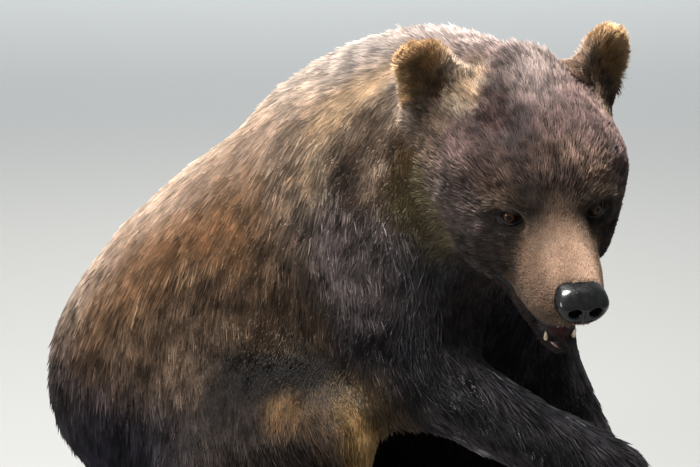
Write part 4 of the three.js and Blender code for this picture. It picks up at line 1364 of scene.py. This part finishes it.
nose = add_object("nose_pad", nose_mesh())
nose.data.materials.append(nose_material())
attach(nose, "root")
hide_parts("nose")
print("nose:", len(nose.data.polygons), "triangles")


# %% [markdown]
# ## Claws and teeth
# The frame's claws and canines are four-sided horns of the right length and curve. A subdivided
# copy of each is round, and is grown a little because subdividing draws a shape in.

# %% Rounded horns
GAPE = -0.135  # the height of the mouth's middle
TOOTH_SHARE = 0.72  # the rest of a canine is hidden in its gum
HORN_LEVELS = 3
CLAW_GROW, TOOTH_GROW = 0.0012, 0.0010


def shorten(shape, share):
    """A tooth shrunk towards its root, the end that is nearer to its own jaw."""
    places = to_head(np.array([vert.co for vert in shape.verts]))
    sunk = places[:, 2] if places[:, 2].mean() > GAPE else -places[:, 2]
    root = Vector(from_head(places[sunk > sunk.max() - 0.003]).mean(0))
    for vert in shape.verts:
        vert.co = root + (vert.co - root) * share


def rounded(name, names, grow, share=1.0):
    whole = bmesh.new()
    spare = bpy.data.meshes.new("spare")
    for part in names:
        shape = node_copy(part, grow)
        if share < 1:
            shorten(shape, share)
        shape.to_mesh(spare)
        shape.free()
        whole.from_mesh(spare)
    whole.to_mesh(spare)
    whole.free()
    item = add_object(name, spare)
    smooth = item.modifiers.new("round", "SUBSURF")
    smooth.levels = smooth.render_levels = HORN_LEVELS
    settled(item)
    shade_smooth(item.data)
    return item


def horn_material():
    horn = Material("claw", Roughness=0.38, Coat_Weight=0.2, Coat_Roughness=0.3)
    grain = horn.noise(160, 4)
    worn = horn.ranged(horn.noise(35, 2), 0.35, 0.7)
    colour = horn.mix(worn, (0.045, 0.028, 0.018, 1), (0.16, 0.11, 0.07, 1))
    horn.set(Base_Color=horn.mix(grain, colour, (0.03, 0.02, 0.015, 1)))
    horn.bump(grain, 0.25, 0.0006)
    return horn.made


def tooth_material():
    tooth = Material("tooth", Roughness=0.28, Coat_Weight=0.4, Coat_Roughness=0.1)
    stain = tooth.ranged(tooth.noise(120, 3), 0.3, 0.75)
    tooth.set(Base_Color=tooth.mix(stain, (0.62, 0.54, 0.38, 1), (0.38, 0.28, 0.15, 1)))
    return tooth.made


horn_look, tooth_look = horn_material(), tooth_material()
for foot, kind in (("forepaw", "foreclaw"), ("hind_foot", "hindclaw")):
    for side in ("right", "left"):
        names = [f"{kind}_{side}_{i}" for i in range(1, 6)]
        item = rounded(f"claws_{foot}_{side}", names, CLAW_GROW)
        item.data.materials.append(horn_look)
        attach(item, "root")
        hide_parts(*names)
canines = [f"canine_{row}_{side}" for row in ("upper", "lower") for side in ("right", "left")]
teeth = rounded("canines", canines, TOOTH_GROW, share=TOOTH_SHARE)
teeth.data.materials.append(tooth_look)
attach(teeth, "root")
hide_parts(*canines)
print("claws and canines rounded")

# %% [markdown]
# ## Tongue
# Between the lower canines lies the front of a tongue, a soft wedge with a furrow down its middle.
# Only its front shows, so a ball is enough that is pressed flat, narrowed to its tip and creased
# along its top.

# %% Tongue
TONGUE_BACK, TONGUE_TIP = np.array((0.036, 0, -0.170)), np.array((0.110, 0, -0.181))
TONGUE_HALF = (0.044, 0.023, 0.0075)


def tongue_mesh():
    mesh = round_mesh("tongue_flesh", 5)
    way = places_of(mesh)
    flat = way * TONGUE_HALF
    flat[:, 1] *= 1 - 0.25 * ramp(flat[:, 0], 0.0, 0.05)
    flat[:, 2] -= 0.0030 * np.exp(-(flat[:, 1] / 0.004) ** 2) * (way[:, 2] > 0)
    flat[:, 2] += 0.004 * ramp(-flat[:, 0], -0.02, 0.045)
    slope = (TONGUE_TIP - TONGUE_BACK) / np.linalg.norm(TONGUE_TIP - TONGUE_BACK)
    over = np.cross(slope, (0, 1.0, 0))
    basis = np.stack([slope, (0, 1, 0), over])
    place(mesh, from_head(flat @ basis + (TONGUE_BACK + TONGUE_TIP) / 2))
    shade_smooth(mesh)
    return mesh


def tongue_material():
    flesh = Material("tongue", Roughness=0.35, Coat_Weight=0.5, Coat_Roughness=0.2)
    flesh.set(Base_Color=flesh.mix(flesh.noise(60, 3), (0.13, 0.045, 0.045, 1), (0.20, 0.080, 0.075, 1)))
    flesh.bump(flesh.noise(700, 2), 0.4, 0.0006)
    return flesh.made


tongue = add_object("tongue_flesh", tongue_mesh())
tongue.data.materials.append(tongue_material())
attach(tongue, "root")
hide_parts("tongue")
print("tongue:", len(tongue.data.polygons), "triangles")

# %% [markdown]
# ## Floor and light
# A dark animal needs a broad, soft light from above to model its back, a weaker one from behind to
# part its outline from the backdrop, and a faint one from the camera's side to open its shadows.
# The floor is plain and pale, so that nothing competes with the coat.

# %% Floor and light
FLOOR = 8.0
SKY_COLOUR, SKY_STRENGTH = (0.80, 0.87, 0.90, 1), 0.42
floor_mesh = bpy.data.meshes.new("floor")
floor_mesh.from_pydata([(-FLOOR, -FLOOR, 0), (FLOOR, -FLOOR, 0), (FLOOR, FLOOR, 0), (-FLOOR, FLOOR, 0)],
                       [], [(0, 1, 2, 3)])
floor = add_object("floor", floor_mesh)
floor_look = Material("floor", Base_Color=(0.22, 0.225, 0.225, 1), Roughness=0.9)
floor.data.materials.append(floor_look.made)


def area_light(name, at, aim, size, power, colour):
    lamp = bpy.data.lights.new(name, "AREA")
    lamp.shape, lamp.size, lamp.energy, lamp.color = "DISK", size, power, colour
    item = add_object(name, lamp)
    item.location = at
    item.rotation_euler = (Vector(at) - Vector(aim)).to_track_quat("Z", "Y").to_euler()


area_light("sky", (-0.1, -0.6, 3.6), (0, 0, 0.4), 1.6, 340, (1.0, 0.98, 0.95))
area_light("rim", (-2.2, 2.4, 2.8), (0, 0, 0.5), 1.2, 110, (1.0, 0.93, 0.82))
area_light("backdrop", (-5.5, 7.5, 4.0), (-5.5, 7.5, 0), 7.0, 800, (0.97, 0.99, 1.0))
area_light("fill", (-1.6, -4.4, 2.2), (0.0, 0, 0.4), 1.8, 130, (0.97, 0.98, 1.0))
bpy.context.scene.view_settings.view_transform = "Standard"
world = bpy.data.worlds.new("world")
world.use_nodes = True
background = world.node_tree.nodes["Background"]
background.inputs["Color"].default_value = SKY_COLOUR
background.inputs["Strength"].default_value = SKY_STRENGTH
bpy.context.scene.world = world
print("floor, lights and sky set")
